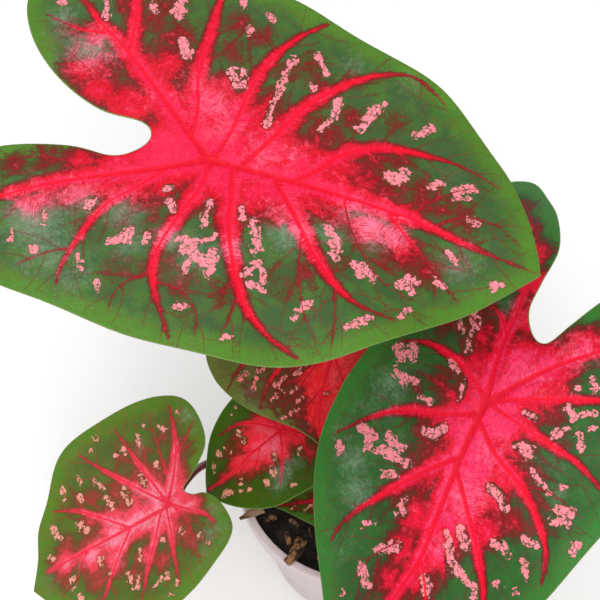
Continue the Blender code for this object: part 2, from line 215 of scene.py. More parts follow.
# Each leaf's place and form are the model's. Its edge has waves that grow up to its reach. Cell is
# the size of its mesh's squares, branching the way between side veins, and mottle how ragged the
# red is. A vein is its half width at the root, the reach of the red on each side of it at its root
# and at its end, and its points. A fleck is a stroke from one point to another, and its width. A
# tint, which reddens, and a painted sheen, a pale highlight painted into the colour, are soft discs:
# x, y, radius and strength.
LEAVES = {
    "a": {
        "junction": (-57, 48, 262), "heading": -17, "pitch": 3, "roll": -2,
        "fold": 0.06, "droop_tip": 0.0007, "droop_lobes": 0.0010, "droop_sides": 0.0006,
        "wave": 1.6, "waves": 9, "reach": 85, "cell": 1.05, "branching": 7.0, "mottle": 1,
        "outline": (
            (125, -2), (113, -16), (100, -30), (78, -51), (59, -65), (35, -74), (0, -76),
            (-37, -73), (-60, -68), (-79, -57), (-88, -41), (-86, -26), (-73, -15), (-50, -9),
            (-34, -9), (-26, -4), (-23, 3), (-28, 8), (-45, 9), (-64, 18), (-80, 33),
            (-90, 52), (-90, 70), (-79, 81), (-55, 86), (-28, 85), (0, 80), (24, 75),
            (51, 66), (76, 57), (100, 38), (114, 19), (122, 5),
        ),
        "stalk": ((2, 10, 78), (2, 32, 120), (0, 54, 166), (-9, 62, 200), (-32, 59, 233)),
        "stalk_radius": (2.9, 1.8),
        "veins": (
            (1.43, 12.8, 3, ((0, 0), (25, 1), (52, 2), (76, 2))),
            (0.45, 3, -0.5, ((76, 2), (99, -1), (123, -2))),
            (1.3, 11.9, 2, ((0, 0), (-24, 20), (-43, 36), (-58, 47))),
            (0.5, 2, -0.5, ((-58, 47), (-72, 60), (-78, 72))),
            (1.3, 11, 2.3, ((0, 0), (-17, -10), (-35, -19), (-50, -27), (-62, -35))),
            (0.5, 2.3, -0.5, ((-62, -35), (-71, -42), (-77, -50))),
            (0.7, 7.6, 0.8, ((-9, 8), (-11, 21), (-15, 33), (-17, 54), (-19, 72))),
            (0.6, 4.2, 0.8, ((-43, 36), (-46, 52), (-50, 64), (-52, 76))),
            (0.5, 2.5, -0.2, ((-54, 43), (-66, 43), (-80, 47))),
            (0.7, 7.6, 0.1, ((2, 3), (4, 15), (5, 36), (9, 51), (15, 63), (23, 73))),
            (1.04, 8, -0.8, ((12, 2), (20, 19), (26, 33), (35, 45), (46, 55), (60, 60), (74, 54))),
            (1.04, 7.6, -0.8, ((31, 1), (38, 9), (46, 20), (58, 27), (72, 30), (87, 31), (101, 27))),
            (0.35, 0.6, -0.7, ((74, 3), (82, 13), (91, 21), (99, 24))),
            (0.3, 0.5, -0.7, ((84, 2), (93, 9), (105, 10), (114, 6))),
            (0.5, 5.1, 0, ((-13, -9), (-21, -20), (-28, -29), (-32, -43), (-34, -56), (-33, -65))),
            (0.35, 0.6, -0.7, ((-33, -50), (-41, -54), (-49, -61))),
            (0.7, 6.8, -0.2, ((1, -2), (1, -12), (-2, -24), (-5, -41), (-3, -52), (2, -61), (10, -73))),
            (0.35, 0.6, -0.7, ((-4, -51), (-10, -56), (-13, -62), (-13, -69))),
            (0.35, 0.6, -0.7, ((-2, -54), (6, -54), (15, -60), (18, -69))),
            (1.04, 7.6, 0, ((9, 0), (13, -14), (16, -26), (23, -41), (30, -52), (40, -60), (53, -65))),
            (0.35, 0.5, -0.7, ((27, -48), (27, -57), (26, -67))),
            (1.04, 8.5, -0.5, ((25, 0), (36, -12), (45, -23), (57, -34), (67, -39), (80, -40))),
            (0.35, 0.6, -0.7, ((40, -17), (44, -34), (50, -48), (57, -57))),
            (0.35, 0.5, -0.7, ((57, -34), (61, -47), (63, -58))),
            (0.4, 0.8, -0.7, ((50, 2), (55, -8), (63, -18), (72, -26), (84, -29))),
            (0.5, 3, -0.8, ((66, 2), (76, -6), (85, -12), (93, -18), (99, -22))),
            (0.3, 0.5, -0.7, ((-40, -20), (-49, -16), (-60, -17), (-72, -22))),
            (0.3, 0.6, -0.7, ((-34, 20), (-46, 20), (-58, 27), (-69, 33))),
        ),
        "flecks": (
            (-59, 56, -57, 50, 2.5), (-42, 59, -40, 57, 3), (-33, 58, -32, 64, 3),
            (-30, 60, -31, 57, 2.5), (-10, 72, -9, 68, 2), (-4, 61, -3, 58, 2.5), (1, 68, 3, 66, 2),
            (-25, 46, -22, 41, 4), (-4, 39, 1, 33, 3.4), (0, 41, 2, 34, 2), (16, 52, 15, 38, 2.8),
            (15, 38, 15, 20, 2), (24, 57, 29, 50, 2.6), (26, 44, 27, 41, 2), (37, 40, 37, 33, 3.4),
            (37, 32, 34, 25, 2), (48, 32, 53, 44, 2), (49, 36, 51, 41, 4), (46, 31, 48, 31, 2),
            (68, 37, 72, 42, 3), (63, 16, 68, 17, 4.6), (66, 14, 68, 20, 3), (78, 17, 82, 20, 2.5),
            (88, 19, 93, 22, 4), (88, 15, 93, 17, 1), (95, 9, 98, 8, 3), (91, -6, 95, -8, 2.5),
            (109, -13, 112, -10, 2.5), (90, -18, 93, -19, 2.5), (78, -25, 83, -21, 3),
            (80, -21, 83, -26, 2), (62, -24, 69, -26, 3.5), (64, -22, 64, -27, 3), (48, -13, 54, -17, 3),
            (51, -18, 54, -20, 3.5), (53, -22, 55, -24, 2.6), (17, -16, 19, -20, 2),
            (23, -20, 28, -30, 3), (26, -29, 28, -32, 2), (27, -41, 30, -35, 2.5), (31, -37, 34, -42, 2),
            (30, -44, 34, -45, 2.5), (6, -18, 7, -27, 2.5), (1, -35, 7, -36, 3.6), (4, -39, 14, -42, 4.2),
            (7, -43, 7, -48, 2), (15, -46, 14, -36, 3), (10, -33, 12, -30, 2), (-10, -17, -9, -16, 2),
            (-7, -22, -5, -25, 2.8), (-10, -41, -10, -37, 1.6), (-21, -44, -17, -39, 3),
            (-16, -42, -16, -37, 2.4), (-34, -33, -33, -30, 3), (-46, -43, -47, -39, 2),
            (-56, -49, -55, -53, 2), (-47, -54, -46, -54, 2.6), (-30, -53, -27, -58, 2.5),
            (-20, -61, -18, -65, 1.5), (9, -61, 11, -60, 3), (27, -67, 30, -66, 2), (48, -51, 49, -46, 2),
            (49, -47, 51, -44, 2.5), (66, -49, 69, -46, 3), (69, -47, 72, -43, 3),
            (82, -37, 84, -33, 2.5), (-66, 70, -62, 64, 3), (-80, 58, -76, 54, 3), (-40, 78, -37, 72, 3),
            (-62, 78, -57, 76, 2.5), (-74, -36, -70, -32, 3), (-66, -56, -60, -58, 3),
            (-76, -50, -73, -46, 2.5), (-82, 66, -80, 62, 2),
        ),
        "tints": (
            (0, 4, 22, 3.6), (-14, 3, 15, 3.4), (-10, 24, 12, 3.4), (3, 20, 12, 3.3), (20, 12, 13, 3.5),
            (33, 10, 10, 3.1), (43, 12, 9, 2.8), (55, 12, 9, 1.9), (66, 9, 9, 1.7), (80, 8, 8, 1.4),
            (95, 6, 7, 1.2), (36, 24, 8, 1.9), (14, 30, 8, 1.7), (14, 45, 7, 1.3), (-3, 34, 7, 1.8),
            (-6, 48, 9, 1.3), (-10, 62, 9, 1.3), (-28, 34, 11, 2.5), (-28, 48, 9, 1.6), (-38, 52, 9, 1.5),
            (-36, 62, 8, 1.3), (-35, 14, 10, 3.1), (-48, 17, 8, 2.8), (-58, 23, 8, 2.5), (-50, 30, 10, 2),
            (-62, 32, 8, 1.4), (-68, 42, 7, 1.6), (-58, 42, 8, 2.4), (-20, -5, 12, 3.4),
            (-30, -12, 10, 3), (-44, -14, 8, 2.2), (-55, -16, 8, 1.6), (-66, -22, 7, 1.4),
            (-40, -28, 9, 2.5), (-30, -24, 8, 2.4), (-52, -36, 9, 2.3), (-12, -15, 9, 2.4),
            (-18, -22, 8, 2.2), (-20, -35, 7, 1.2), (-10, -30, 6, 1.3), (6, -9, 9, 3), (6, -18, 6, 1.7),
            (20, -8, 10, 3.2), (20, -17, 6, 1.7), (32, -6, 10, 2.8), (30, -15, 7, 2), (44, -5, 8, 2.2),
            (52, -7, 7, 1.7), (62, -8, 8, 2.8), (71, -7, 7, 2.6), (76, -12, 9, 2), (86, -16, 8, 1.8),
            (95, -9, 6, 1.2), (70, -18, 6, 1.3), (0, -46, 9, 1.2), (8, -52, 9, 1.2), (-14, -52, 9, 1.1),
            (-8, -38, 6, 1.3), (40, -40, 9, 1.1), (55, -25, 8, 1.1), (45, -33, 5, 1.4), (44, 34, 8, 1.5),
            (56, 22, 8, 1.6), (58, 38, 8, 1.1), (30, 44, 7, 1.4), (24, 52, 8, 1.3), (66, 24, 8, 1.2),
            (76, 16, 8, 1.3), (88, 12, 8, 1.2), (2, 58, 8, 1.2), (40, 50, 6, 1.2), (-50, 58, 9, 1.4),
            (-30, -42, 8, 1), (22, -50, 7, 1.1),
        ),
        "painted_sheens": (
            (-6, 24, 9, 0.5), (-13, 31, 7, 0.4), (1, 14, 7, 0.4), (17, 9, 7, 0.5), (27, 12, 6, 0.35),
            (-30, 22, 7, 0.2), (63, -7, 8, 1), (71, -7, 6, 0.9), (55, -3, 6, 0.7), (36, -20, 8, 0.9),
            (29, -13, 6, 0.4), (19, -33, 5, 0.9), (-3, -36, 6, 0.9), (-22, -31, 8, 0.8),
            (-38, -30, 8, 0.7), (-50, -42, 11, 0.9), (-58, 34, 10, 1), (-73, 47, 6, 0.8),
            (-70, 38, 7, 0.5), (8, -40, 9, 0.6), (50, -14, 7, 0.6), (96, -9, 8, 0.6), (-14, -42, 7, 0.6),
            (-40, -54, 12, 0.6), (-28, -62, 8, 0.4), (38, 58, 6, 0.4), (60, 56, 6, 0.3), (84, 24, 9, 0.2),
        ),
    },
    "b": {
        "junction": (41.5, -23.5, 205), "heading": 237, "pitch": 20, "roll": 7,
        "fold": 0.03, "droop_tip": 0.003, "droop_lobes": 0.006, "droop_sides": 0.0008,
        "wave": 1.4, "waves": 8, "reach": 70, "cell": 1.0, "branching": 7.0, "mottle": 0.8,
        "outline": (
            (111, 4), (104, -13), (92, -22), (67, -37), (40, -49), (18, -51), (-5, -49),
            (-43, -51), (-70, -54), (-88, -53), (-96, -44), (-91, -32), (-84, -22),
            (-71, -12), (-54, -8), (-42, -5), (-34, 2), (-34, 8), (-45, 11), (-62, 15),
            (-75, 21), (-81, 34), (-73, 48), (-58, 60), (-38, 67), (-12, 69), (19, 61),
            (48, 55), (70, 46), (90, 34), (104, 19),
        ),
        "stalk": ((10, -2, 78), (22, -5, 115), (34, -11, 155), (41, -18.5, 188)),
        "stalk_radius": (2.8, 1.8),
        "veins": (
            (1.43, 9.6, 0.8, ((-3, 1), (19, 3), (46, 6), (60, 7), (78, 4), (95, 3), (109, 4))),
            (1.3, 7.2, 1.2, ((-3, 1), (-23, -5), (-38, -8), (-50, -12))),
            (0.5, 1.2, -0.5, ((-50, -12), (-66, -25), (-84, -43))),
            (0.6, 2.8, -0.2, ((-30, -7), (-35, -13), (-38, -21))),
            (1.04, 5.2, 0, ((-4, 0), (-9, -9), (-12, -20), (-12, -30), (-8, -39))),
            (1.17, 5.6, -0.2, ((2, 1), (9, -12), (14, -24), (22, -34), (34, -44))),
            (1.04, 5.6, -0.2, ((19, 3), (28, -5), (38, -12), (50, -20), (61, -26), (70, -28))),
            (0.4, 0.8, -0.7, ((46, 6), (57, -3), (68, -11), (80, -14))),
            (1.3, 8, 1.4, ((-4, 2), (-15, 8), (-28, 16), (-41, 26), (-52, 34))),
            (0.5, 1.4, -0.5, ((-52, 34), (-60, 39), (-68, 42))),
            (1.04, 4.8, 0.3, ((-5, 3), (-11, 13), (-18, 25), (-25, 38), (-31, 52))),
            (0.7, 4.8, -0.1, ((-3, 3), (-2, 16), (-1, 30), (0, 42), (3, 51), (5, 59))),
            (1.04, 6.4, -0.1, ((4, 2), (12, 14), (17, 27), (24, 38), (33, 47), (44, 51))),
            (1.04, 6.4, -0.1, ((24, 4), (35, 15), (47, 26), (60, 35), (70, 38))),
            (0.5, 3.2, -0.2, ((58, 7), (71, 16), (84, 21), (93, 22))),
            (0.4, 0.8, -0.7, ((-21, -5), (-28, -19), (-31, -33), (-28, -44))),
            (0.4, 0.8, -0.7, ((-47, -11), (-55, -30), (-56, -45))),
            (0.35, 0.5, -0.7, ((17, 27), (14, 38), (16, 52))),
        ),
        "flecks": (
            (-26, -25, -22, -21, 2), (-31, -23, -26, -18, 3), (-20, -17, -17, -15, 2.5),
            (-29, -18, -23, -18, 2), (-5, -39, -2, -35, 4), (-8, -34, -4, -32, 4), (3, -35, 5, -29, 3.5),
            (4, -29, 2, -26, 2.5), (7, -22, 7, -17, 2.5), (-10, -18, -8, -13, 2), (-7, -11, -4, -9, 1.5),
            (-3, -9, 1, -8, 1.5), (17, -13, 17, -10, 3), (17, -10, 13, -8, 3.5), (28, -36, 28, -29, 3.5),
            (30, -31, 34, -30, 2.5), (26, -25, 27, -19, 4), (31, -24, 31, -14, 3.5),
            (33, -27, 30, -22, 2), (37, -41, 40, -39, 2.5), (39, -20, 37, -16, 2.5), (48, -9, 43, -8, 2),
            (46, -8, 47, -6, 2.5), (59, -19, 56, -16, 2), (64, -10, 59, -3, 3.5), (73, -13, 77, -9, 3.5),
            (76, -10, 77, -7, 2), (85, -16, 86, -16, 2), (42, 16, 46, 20, 3.5), (45, 11, 49, 15, 2),
            (49, 14, 55, 19, 3), (55, 21, 57, 27, 3.5), (57, 29, 60, 31, 2), (64, 12, 68, 15, 3.5),
            (23, 18, 24, 23, 3), (24, 22, 27, 27, 2), (40, 29, 39, 33, 3), (39, 32, 41, 36, 2),
            (33, 38, 33, 43, 2.8), (40, 41, 44, 45, 3.2), (52, 36, 52, 38, 2), (51, 44, 51, 44, 2),
            (5, 19, 3, 25, 2), (5, 22, 6, 25, 3), (10, 28, 12, 32, 1.6), (12, 34, 14, 38, 2),
            (10, 41, 10, 43, 1.6), (18, 43, 16, 49, 3), (22, 44, 20, 49, 2.5), (25, 55, 28, 55, 3),
            (-7, 16, -7, 20, 1.8), (-5, 29, -9, 32, 2.5), (-16, 28, -14, 32, 3), (-16, 34, -19, 37, 2.5),
            (-10, 36, -5, 40, 2.5), (-24, 27, -24, 28, 2), (-30, 30, -27, 33, 2.5), (-13, 38, -14, 40, 2),
            (-50, 45, -46, 50, 3), (-38, 52, -36, 56, 3), (-62, 26, -58, 30, 2.5), (-14, 52, -12, 58, 3),
            (76, 28, 80, 31, 3), (88, 8, 93, 12, 2.5), (-64, -42, -60, -38, 3), (-44, -30, -42, -36, 3),
            (-78, -46, -74, -44, 2), (-76, 36, -72, 33, 2.5), (98, -6, 94, -8, 2), (84, 30, 86, 27, 2),
        ),
        "tints": (
            (0, 4, 16, 3.5), (14, 9, 12, 3.6), (28, 11, 12, 3.6), (42, 12, 10, 3.3), (54, 12, 9, 3),
            (66, 11, 8, 2.5), (79, 8, 8, 2.1), (92, 6, 7, 1.8), (-14, 8, 13, 3.5), (-28, 14, 11, 3.3),
            (-40, 20, 9, 3), (-50, 27, 8, 2.5), (-24, 2, 10, 3), (-40, -3, 9, 2.9), (-54, -9, 9, 2.5),
            (-65, -20, 9, 2.4), (-73, -31, 8, 2.3), (-82, -39, 7, 1.7), (2, 14, 7, 2.8), (6, 22, 6, 1.6),
            (10, 31, 7, 1.4), (-7, 18, 7, 2), (-10, 27, 6, 1.3), (-18, 22, 7, 2.3), (17, 22, 8, 2.6),
            (26, 23, 7, 2), (30, 32, 8, 1.6), (38, 24, 7, 2.7), (20, 36, 6, 1.3), (-3, 34, 6, 1.2),
            (25, 44, 6, 1.1), (10, -5, 9, 2.8), (22, -4, 8, 1.9), (33, -5, 9, 1.8), (46, -2, 8, 2.5),
            (58, -1, 8, 2.4), (70, -1, 8, 2.2), (82, -6, 6, 1.3), (2, -11, 7, 1.7), (-3, -18, 7, 1.6),
            (-14, -10, 8, 2.4), (-24, -14, 8, 2), (-32, -18, 8, 1.6), (4, -26, 7, 1.3), (16, -14, 7, 1.7),
            (28, -12, 8, 1.5), (40, -13, 7, 1.2), (50, -15, 6, 1.1), (-20, -28, 8, 1.3), (-62, 32, 8, 2),
            (72, 30, 7, 1.1),
        ),
        "painted_sheens": (
            (30, 12, 9, 0.5), (12, 12, 8, 0.35), (52, 12, 6, 0.35), (40, -33, 7, 0.7), (50, -26, 7, 0.7),
            (8, -34, 8, 0.6), (22, -36, 7, 0.4), (-20, 10, 8, 0.3), (28, -22, 6, 0.4), (-36, 20, 9, 0.45),
            (33, -42, 6, 0.35), (70, -22, 7, 0.3), (-40, -12, 6, 0.4), (5, 35, 6, 0.3), (13, 41, 4, 0.5),
            (18, -29, 4, 0.5),
        ),
    },
    "c": {
        "junction": (-4.5, 37, 184), "heading": 255, "pitch": 32, "roll": 8,
        "fold": -0.15, "droop_tip": 0.002, "droop_lobes": 0.006, "droop_sides": 0.0012,
        "wave": 1.0, "waves": 7, "reach": 60, "cell": 0.85, "branching": 7.0, "mottle": 0.7,
        "outline": (
            (65, 2), (61, -9), (60, -20), (59, -31), (56, -41), (50, -51), (40, -58),
            (24, -60), (5, -57), (-12, -49), (-23, -37), (-26, -25), (-22, -14), (-13, -6),
            (-9, 0), (-12, 6), (-20, 13), (-23, 23), (-19, 33), (-8, 42), (8, 46),
            (25, 44), (41, 37), (54, 26), (62, 14),
        ),
        "stalk": ((-2, 4, 78), (-3, 15, 112), (-3.5, 31, 145), (-3.6, 39.5, 168)),
        "stalk_radius": (2.3, 1.5),
        "veins": (
            (1.3, 7.2, 0.9, ((0, 0), (30, -2), (45, -3), (58, -1), (64, 2))),
            (1.04, 7.2, 0.8, ((0, 0), (-8, 12), (-14, 24), (-14, 33))),
            (1.04, 7.2, 0.8, ((0, 0), (-9, -13), (-16, -25), (-17, -36))),
            (0.6, 4.8, -0.2, ((6, -1), (20, -13), (36, -22), (47, -27), (57, -29))),
            (0.4, 0.8, -0.7, ((24, -2), (35, -9), (48, -15), (58, -21))),
            (0.5, 4, -0.2, ((2, -2), (16, -22), (32, -34), (46, -42), (53, -44))),
            (0.35, 0.8, -0.7, ((40, -3), (50, -8), (59, -14))),
            (0.6, 4, -0.2, ((1, -2), (4, -20), (12, -38), (24, -52))),
            (0.6, 4.8, 0.8, ((8, 1), (22, 12), (38, 19), (50, 21))),
            (0.6, 4.8, 0.8, ((4, 2), (12, 18), (22, 31), (32, 37))),
            (0.5, 4, 0.8, ((28, 0), (42, 8), (55, 11))),
        ),
        "flecks": (
            (47, -40, 44, -37, 1.4), (42, -32, 40, -30, 1.8), (50, -33, 44, -32, 1.1),
            (46, -24, 41, -20, 1.3), (52, -24, 47, -21, 1.2), (39, -16, 33, -11, 1.4),
            (48, -18, 44, -14, 1.2), (49, -12, 47, -11, 1.3), (58, -18, 52, -12, 1.3),
            (57, -10, 58, -6, 0.8), (43, -2, 42, 1, 1.1), (28, -44, 30, -40, 1.6),
            (14, -30, 18, -27, 1.6), (20, -50, 24, -48, 1.6), (2, -36, 4, -32, 1.6),
            (-8, -34, -5, -30, 1.6), (20, 24, 24, 27, 1.6), (34, 30, 37, 28, 1.6), (-8, 28, -5, 25, 1.6),
            (4, 36, 8, 33, 1.6),
        ),
        # The weak tints where y is below nought give deep red and olive, partly painted shade from leaf a
        "tints": (
            (30, 8, 20, 3.8), (50, 8, 15, 3.6), (10, 10, 16, 3.4), (-6, 14, 10, 2.6), (-4, -14, 12, 2.6),
            (40, -6, 9, 2.1), (52, -8, 9, 1.8), (36, -15, 10, 1.6), (48, -20, 10, 1.5),
            (20, -20, 10, 1.6), (36, -28, 9, 1.4), (50, -33, 6, 1.1),
        ),
        "painted_sheens": ((52, -34, 6, 0.35), (38, 3, 8, 0.2), (60, -30, 4, 0.5), (46, -30, 5, 0.2)),
    },
    "d": {
        "junction": (-31.8, 2.8, 126), "heading": 211, "pitch": 24, "roll": 2,
        "fold": 0.08, "droop_tip": 0.004, "droop_lobes": 0.004, "droop_sides": 0.0015,
        "wave": 0.6, "waves": 6, "reach": 30, "cell": 0.55, "branching": 4.5, "mottle": 0.45,
        "outline": (
            (44, -1), (39, -9), (31, -17), (21, -22), (11, -25), (1, -26), (-9, -25),
            (-17, -20), (-19, -13), (-14, -6), (-7, -2), (-6, 2), (-12, 6), (-18, 12),
            (-18, 20), (-12, 26), (-2, 29), (8, 28), (18, 26), (27, 21), (35, 14), (41, 6),
        ),
        "stalk": ((-8, 4, 78), (-14, 6, 92), (-21, 7, 104), (-27.5, 6, 114)),
        "stalk_radius": (1.7, 1.1),
        "veins": (
            (0.7, 3.6, 0.4, ((0, 0), (18, 0), (30, 1), (42, -1))),
            (0.5, 2.4, -0.2, ((0, 0), (-4, 7), (-4, 14), (-2, 21))),
            (0.5, 3, 0, ((1, 0), (5, 8), (9, 14), (13, 19))),
            (0.6, 3, -0.2, ((0, 0), (8, -9), (15, -14), (25, -16))),
            (0.5, 2.4, -0.2, ((0, 0), (-7, -9), (-11, -17))),
            (0.5, 2.4, -0.2, ((0, 0), (-9, 8), (-14, 16))),
            (0.35, 0.8, -0.7, ((14, 0), (23, -4), (31, -8))),
            (0.35, 0.8, -0.7, ((12, 0), (20, 7), (27, 11))),
            (0.35, 0.8, -0.7, ((1, -1), (2, -12), (6, -20))),
        ),
        "flecks": (
            (17, -11, 17, -9, 1.4), (30, -11, 29, -9, 1.7), (26, -10, 25, -7, 1.3), (35, -8, 36, -6, 1.6),
            (37, 6, 34, 7, 2.2), (28, 7, 27, 7, 1.4), (30, 10, 30, 10, 1.3), (26, 12, 26, 12, 1.6),
            (18, 14, 18, 16, 1.8), (13, 12, 13, 14, 2.6), (9, 7, 9, 10, 1.6), (12, -20, 12, -19, 1),
            (16, -7, 17, -6, 1.5), (-2, 12, -1, 14, 1.4), (15, -20, 15, -19, 0.8), (8, 24, 9, 23, 1),
            (-12, 18, -11, 20, 1.6), (-9, -19, -8, -16, 1.6), (3, -20, 4, -18, 1.2),
        ),
        "tints": (
            (4, 1, 9, 3.3), (14, 1, 8, 3.2), (24, 0, 6, 2.6), (8, -7, 6, 2.9), (16, -8, 6, 2),
            (6, 8, 6, 2.5), (-4, 8, 5, 2.4), (12, 8, 5, 1.9), (20, 5, 5, 1.9), (24, -8, 4, 1.2),
            (-6, -8, 6, 2.2), (33, 0, 4, 1.8), (-5, 16, 5, 1.8),
        ),
        "painted_sheens": ((10, 16, 5, 1), (5, 15, 4, 0.7), (8, 4, 5, 0.6), (14, 19, 4, 0.8), (1, 17, 3, 0.5)),
    },
    "e": {
        "junction": (-3, -15, 98), "heading": 190, "pitch": 10, "roll": 0,
        "fold": 0.08, "droop_tip": 0.004, "droop_lobes": 0.004, "droop_sides": 0.0015,
        "wave": 0.4, "waves": 5, "reach": 20, "cell": 0.5, "branching": 4.5, "mottle": 0.6,
        "outline": (
            (34, -4), (28, -9), (19, -13), (9, -14), (-1, -14), (-8, -11), (-9, -6),
            (-4, -2), (-4, 1), (-9, 6), (-8, 11), (0, 15), (11, 14), (19, 9), (28, 1),
        ),
        "stalk": ((-1, -7, 78), (-1.5, -9, 84), (-2.5, -12.5, 89.5)),
        "stalk_radius": (1.3, 1.0),
        "veins": (
            (0.5, 2, 0, ((0, 0), (12, -1), (24, -2), (33, -4))),
            (0.4, 0.8, -0.7, ((0, 0), (-4, 6), (-4, 11))),
            (0.4, 0.8, -0.7, ((0, 0), (-4, -6), (-5, -10))),
            (0.4, 0.8, -0.7, ((4, 0), (12, 5), (19, 7))),
            (0.4, 0.8, -0.7, ((5, 0), (13, -6), (20, -10))),
        ),
        "flecks": (
            (18, 1, 20, 2, 1.3), (24, -1, 26, -1, 1.3), (14, 8, 15, 10, 1.2), (9, -9, 11, -9, 1.4),
            (4, 9, 5, 11, 1.2), (20, -7, 21, -8, 1),
        ),
        "tints": (
            (6, 0, 7, 3), (15, 0, 5, 2.1), (24, -1, 4, 1.5),
        ),
        "painted_sheens": ((12, 6, 4, 0.4),),
    },
    "f": {
        "junction": (-78.2, -28.4, 124), "heading": 205, "pitch": 13, "roll": 3,
        "fold": 0.08, "droop_tip": 0.0022, "droop_lobes": 0.0028, "droop_sides": 0.0003,
        "wave": 1.1, "waves": 7, "reach": 46, "cell": 0.7, "branching": 5.0, "mottle": 0.55,
        "outline": (
            (67, 4), (61, -7), (56, -19), (46, -28), (34, -41), (22, -46), (3, -46),
            (-14, -44), (-23, -39), (-26, -29), (-24, -16), (-15, -7), (-8, -2), (-10, 2),
            (-15, 4), (-19, 10), (-20, 21), (-16, 28), (-7, 34), (6, 40), (19, 43),
            (32, 40), (46, 32), (58, 20),
        ),
        "stalk": ((-9, -3, 78), (-29, 0, 88), (-50, 2, 93), (-65, -1.5, 98), (-73, -16, 111)),
        "stalk_radius": (1.9, 1.5),
        "veins": (
            (1.04, 6.2, 0.5, ((0, 2), (20, 2), (42, 1), (58, 0))),
            (0.6, 4.4, -0.3, ((1, 0), (9, -11), (20, -27), (26, -37))),
            (0.6, 4.2, -0.4, ((1, -2), (4, -17), (6, -28), (8, -39))),
            (0.35, 0.7, -0.7, ((-4, -12), (-6, -26), (-7, -36))),
            (0.7, 5.4, -0.3, ((0, 0), (-7, -10), (-13, -22), (-17, -38))),
            (0.4, 0.8, -0.7, ((-11, -17), (-17, -21), (-23, -27))),
            (0.6, 4.6, -0.3, ((19, 2), (28, -8), (37, -17), (46, -22))),
            (0.6, 4.8, -0.2, ((18, 2), (26, 9), (34, 17), (42, 25))),
            (0.4, 0.8, -0.7, ((38, 1), (44, 6), (48, 12))),
            (0.6, 4.6, -0.3, ((4, 2), (11, 12), (19, 23), (26, 34))),
            (0.5, 3.4, -0.3, ((2, 3), (4, 13), (7, 25), (9, 35))),
            (0.4, 0.8, -0.7, ((-1, 3), (-4, 13), (-3, 22), (-2, 31))),
            (0.6, 4.2, 0, ((0, 1), (-6, 7), (-11, 12), (-14, 18))),
        ),
        "flecks": (
            (17, -42, 17, -40, 1.3), (20, -37, 21, -36, 0.8), (-4, -35, -4, -33, 1.2),
            (0, -33, 1, -28, 1.7), (-10, -31, -11, -28, 1.5), (12, -29, 11, -29, 1.5),
            (8, -30, 8, -28, 1.9), (-2, -17, -2, -14, 1.5), (6, -15, 6, -11, 1.9),
            (25, -25, 24, -22, 1.3), (23, -21, 22, -18, 1.3), (30, -28, 30, -26, 1.4),
            (38, -28, 39, -24, 1.7), (33, -21, 33, -19, 1.2), (23, -15, 22, -10, 2.2),
            (15, -14, 15, -11, 2), (15, -11, 15, -7, 2.2), (38, -11, 36, -7, 2.5), (36, -12, 39, -8, 1.7),
            (49, -16, 48, -10, 2.7), (55, -5, 54, -4, 2.2), (35, 8, 36, 11, 1.7), (49, 9, 50, 13, 1.5),
            (34, 16, 34, 17, 1.2), (27, 20, 27, 26, 1.7), (23, 23, 25, 27, 1.7), (18, 31, 15, 29, 2.4),
            (12, 29, 12, 30, 1.2), (10, 34, 10, 35, 1.4), (8, 14, 9, 19, 1), (1, 16, -1, 14, 1.5),
            (18, 11, 20, 17, 0.8), (-6, 20, -6, 21, 1.2), (-8, 25, -8, 26, 1.1), (49, 17, 49, 18, 1.7),
            (-19, -34, -19, -33, 1), (36, 32, 38, 34, 1.7), (13, 38, 14, 37, 1.2), (44, 24, 46, 23, 1.4),
        ),
        "tints": (
            (2, 1, 9, 3.3), (14, 2, 8, 3.4), (26, 3, 8, 3.4), (38, 4, 7, 3.2), (50, 1, 6, 2.8),
            (-7, -2, 7, 2.7), (-8, 6, 6, 2.6), (8, 8, 6, 2.6), (17, 17, 5, 2.3), (30, 12, 6, 2.4),
            (38, 9, 6, 2), (4, -7, 6, 2.6), (14, -7, 6, 2.2), (24, -5, 7, 2.6), (34, -9, 5, 1.9),
            (-8, -10, 6, 2.4), (-1, -14, 6, 1.8), (8, -15, 6, 1.6), (18, -15, 6, 1.4), (28, -18, 6, 1.4),
            (-14, -18, 6, 1.4), (0, 14, 6, 1.8), (12, 22, 6, 1.5), (24, 22, 6, 1.5), (-3, 20, 6, 1.3),
            (40, 16, 6, 1.5), (46, -6, 6, 1.5), (2, -24, 6, 1.2), (10, -26, 6, 1.1), (-8, -26, 6, 1.2),
            (36, -20, 6, 1.2), (52, 8, 5, 1.3),
        ),
        "painted_sheens": (
            (4, -4, 4, 0.85), (9, -9, 3, 0.6), (-22, -31, 4, 0.7), (-22, -24, 3, 0.4), (-12, 22, 6, 0.6),
            (-16, 13, 4, 0.5), (1, -27, 3, 0.6), (24, 0, 8, 0.4), (12, 1, 6, 0.4), (28, 12, 5, 0.4),
            (60, 4, 5, 0.4), (-6, 28, 5, 0.4), (42, 4, 5, 0.3),
        ),
    },
}

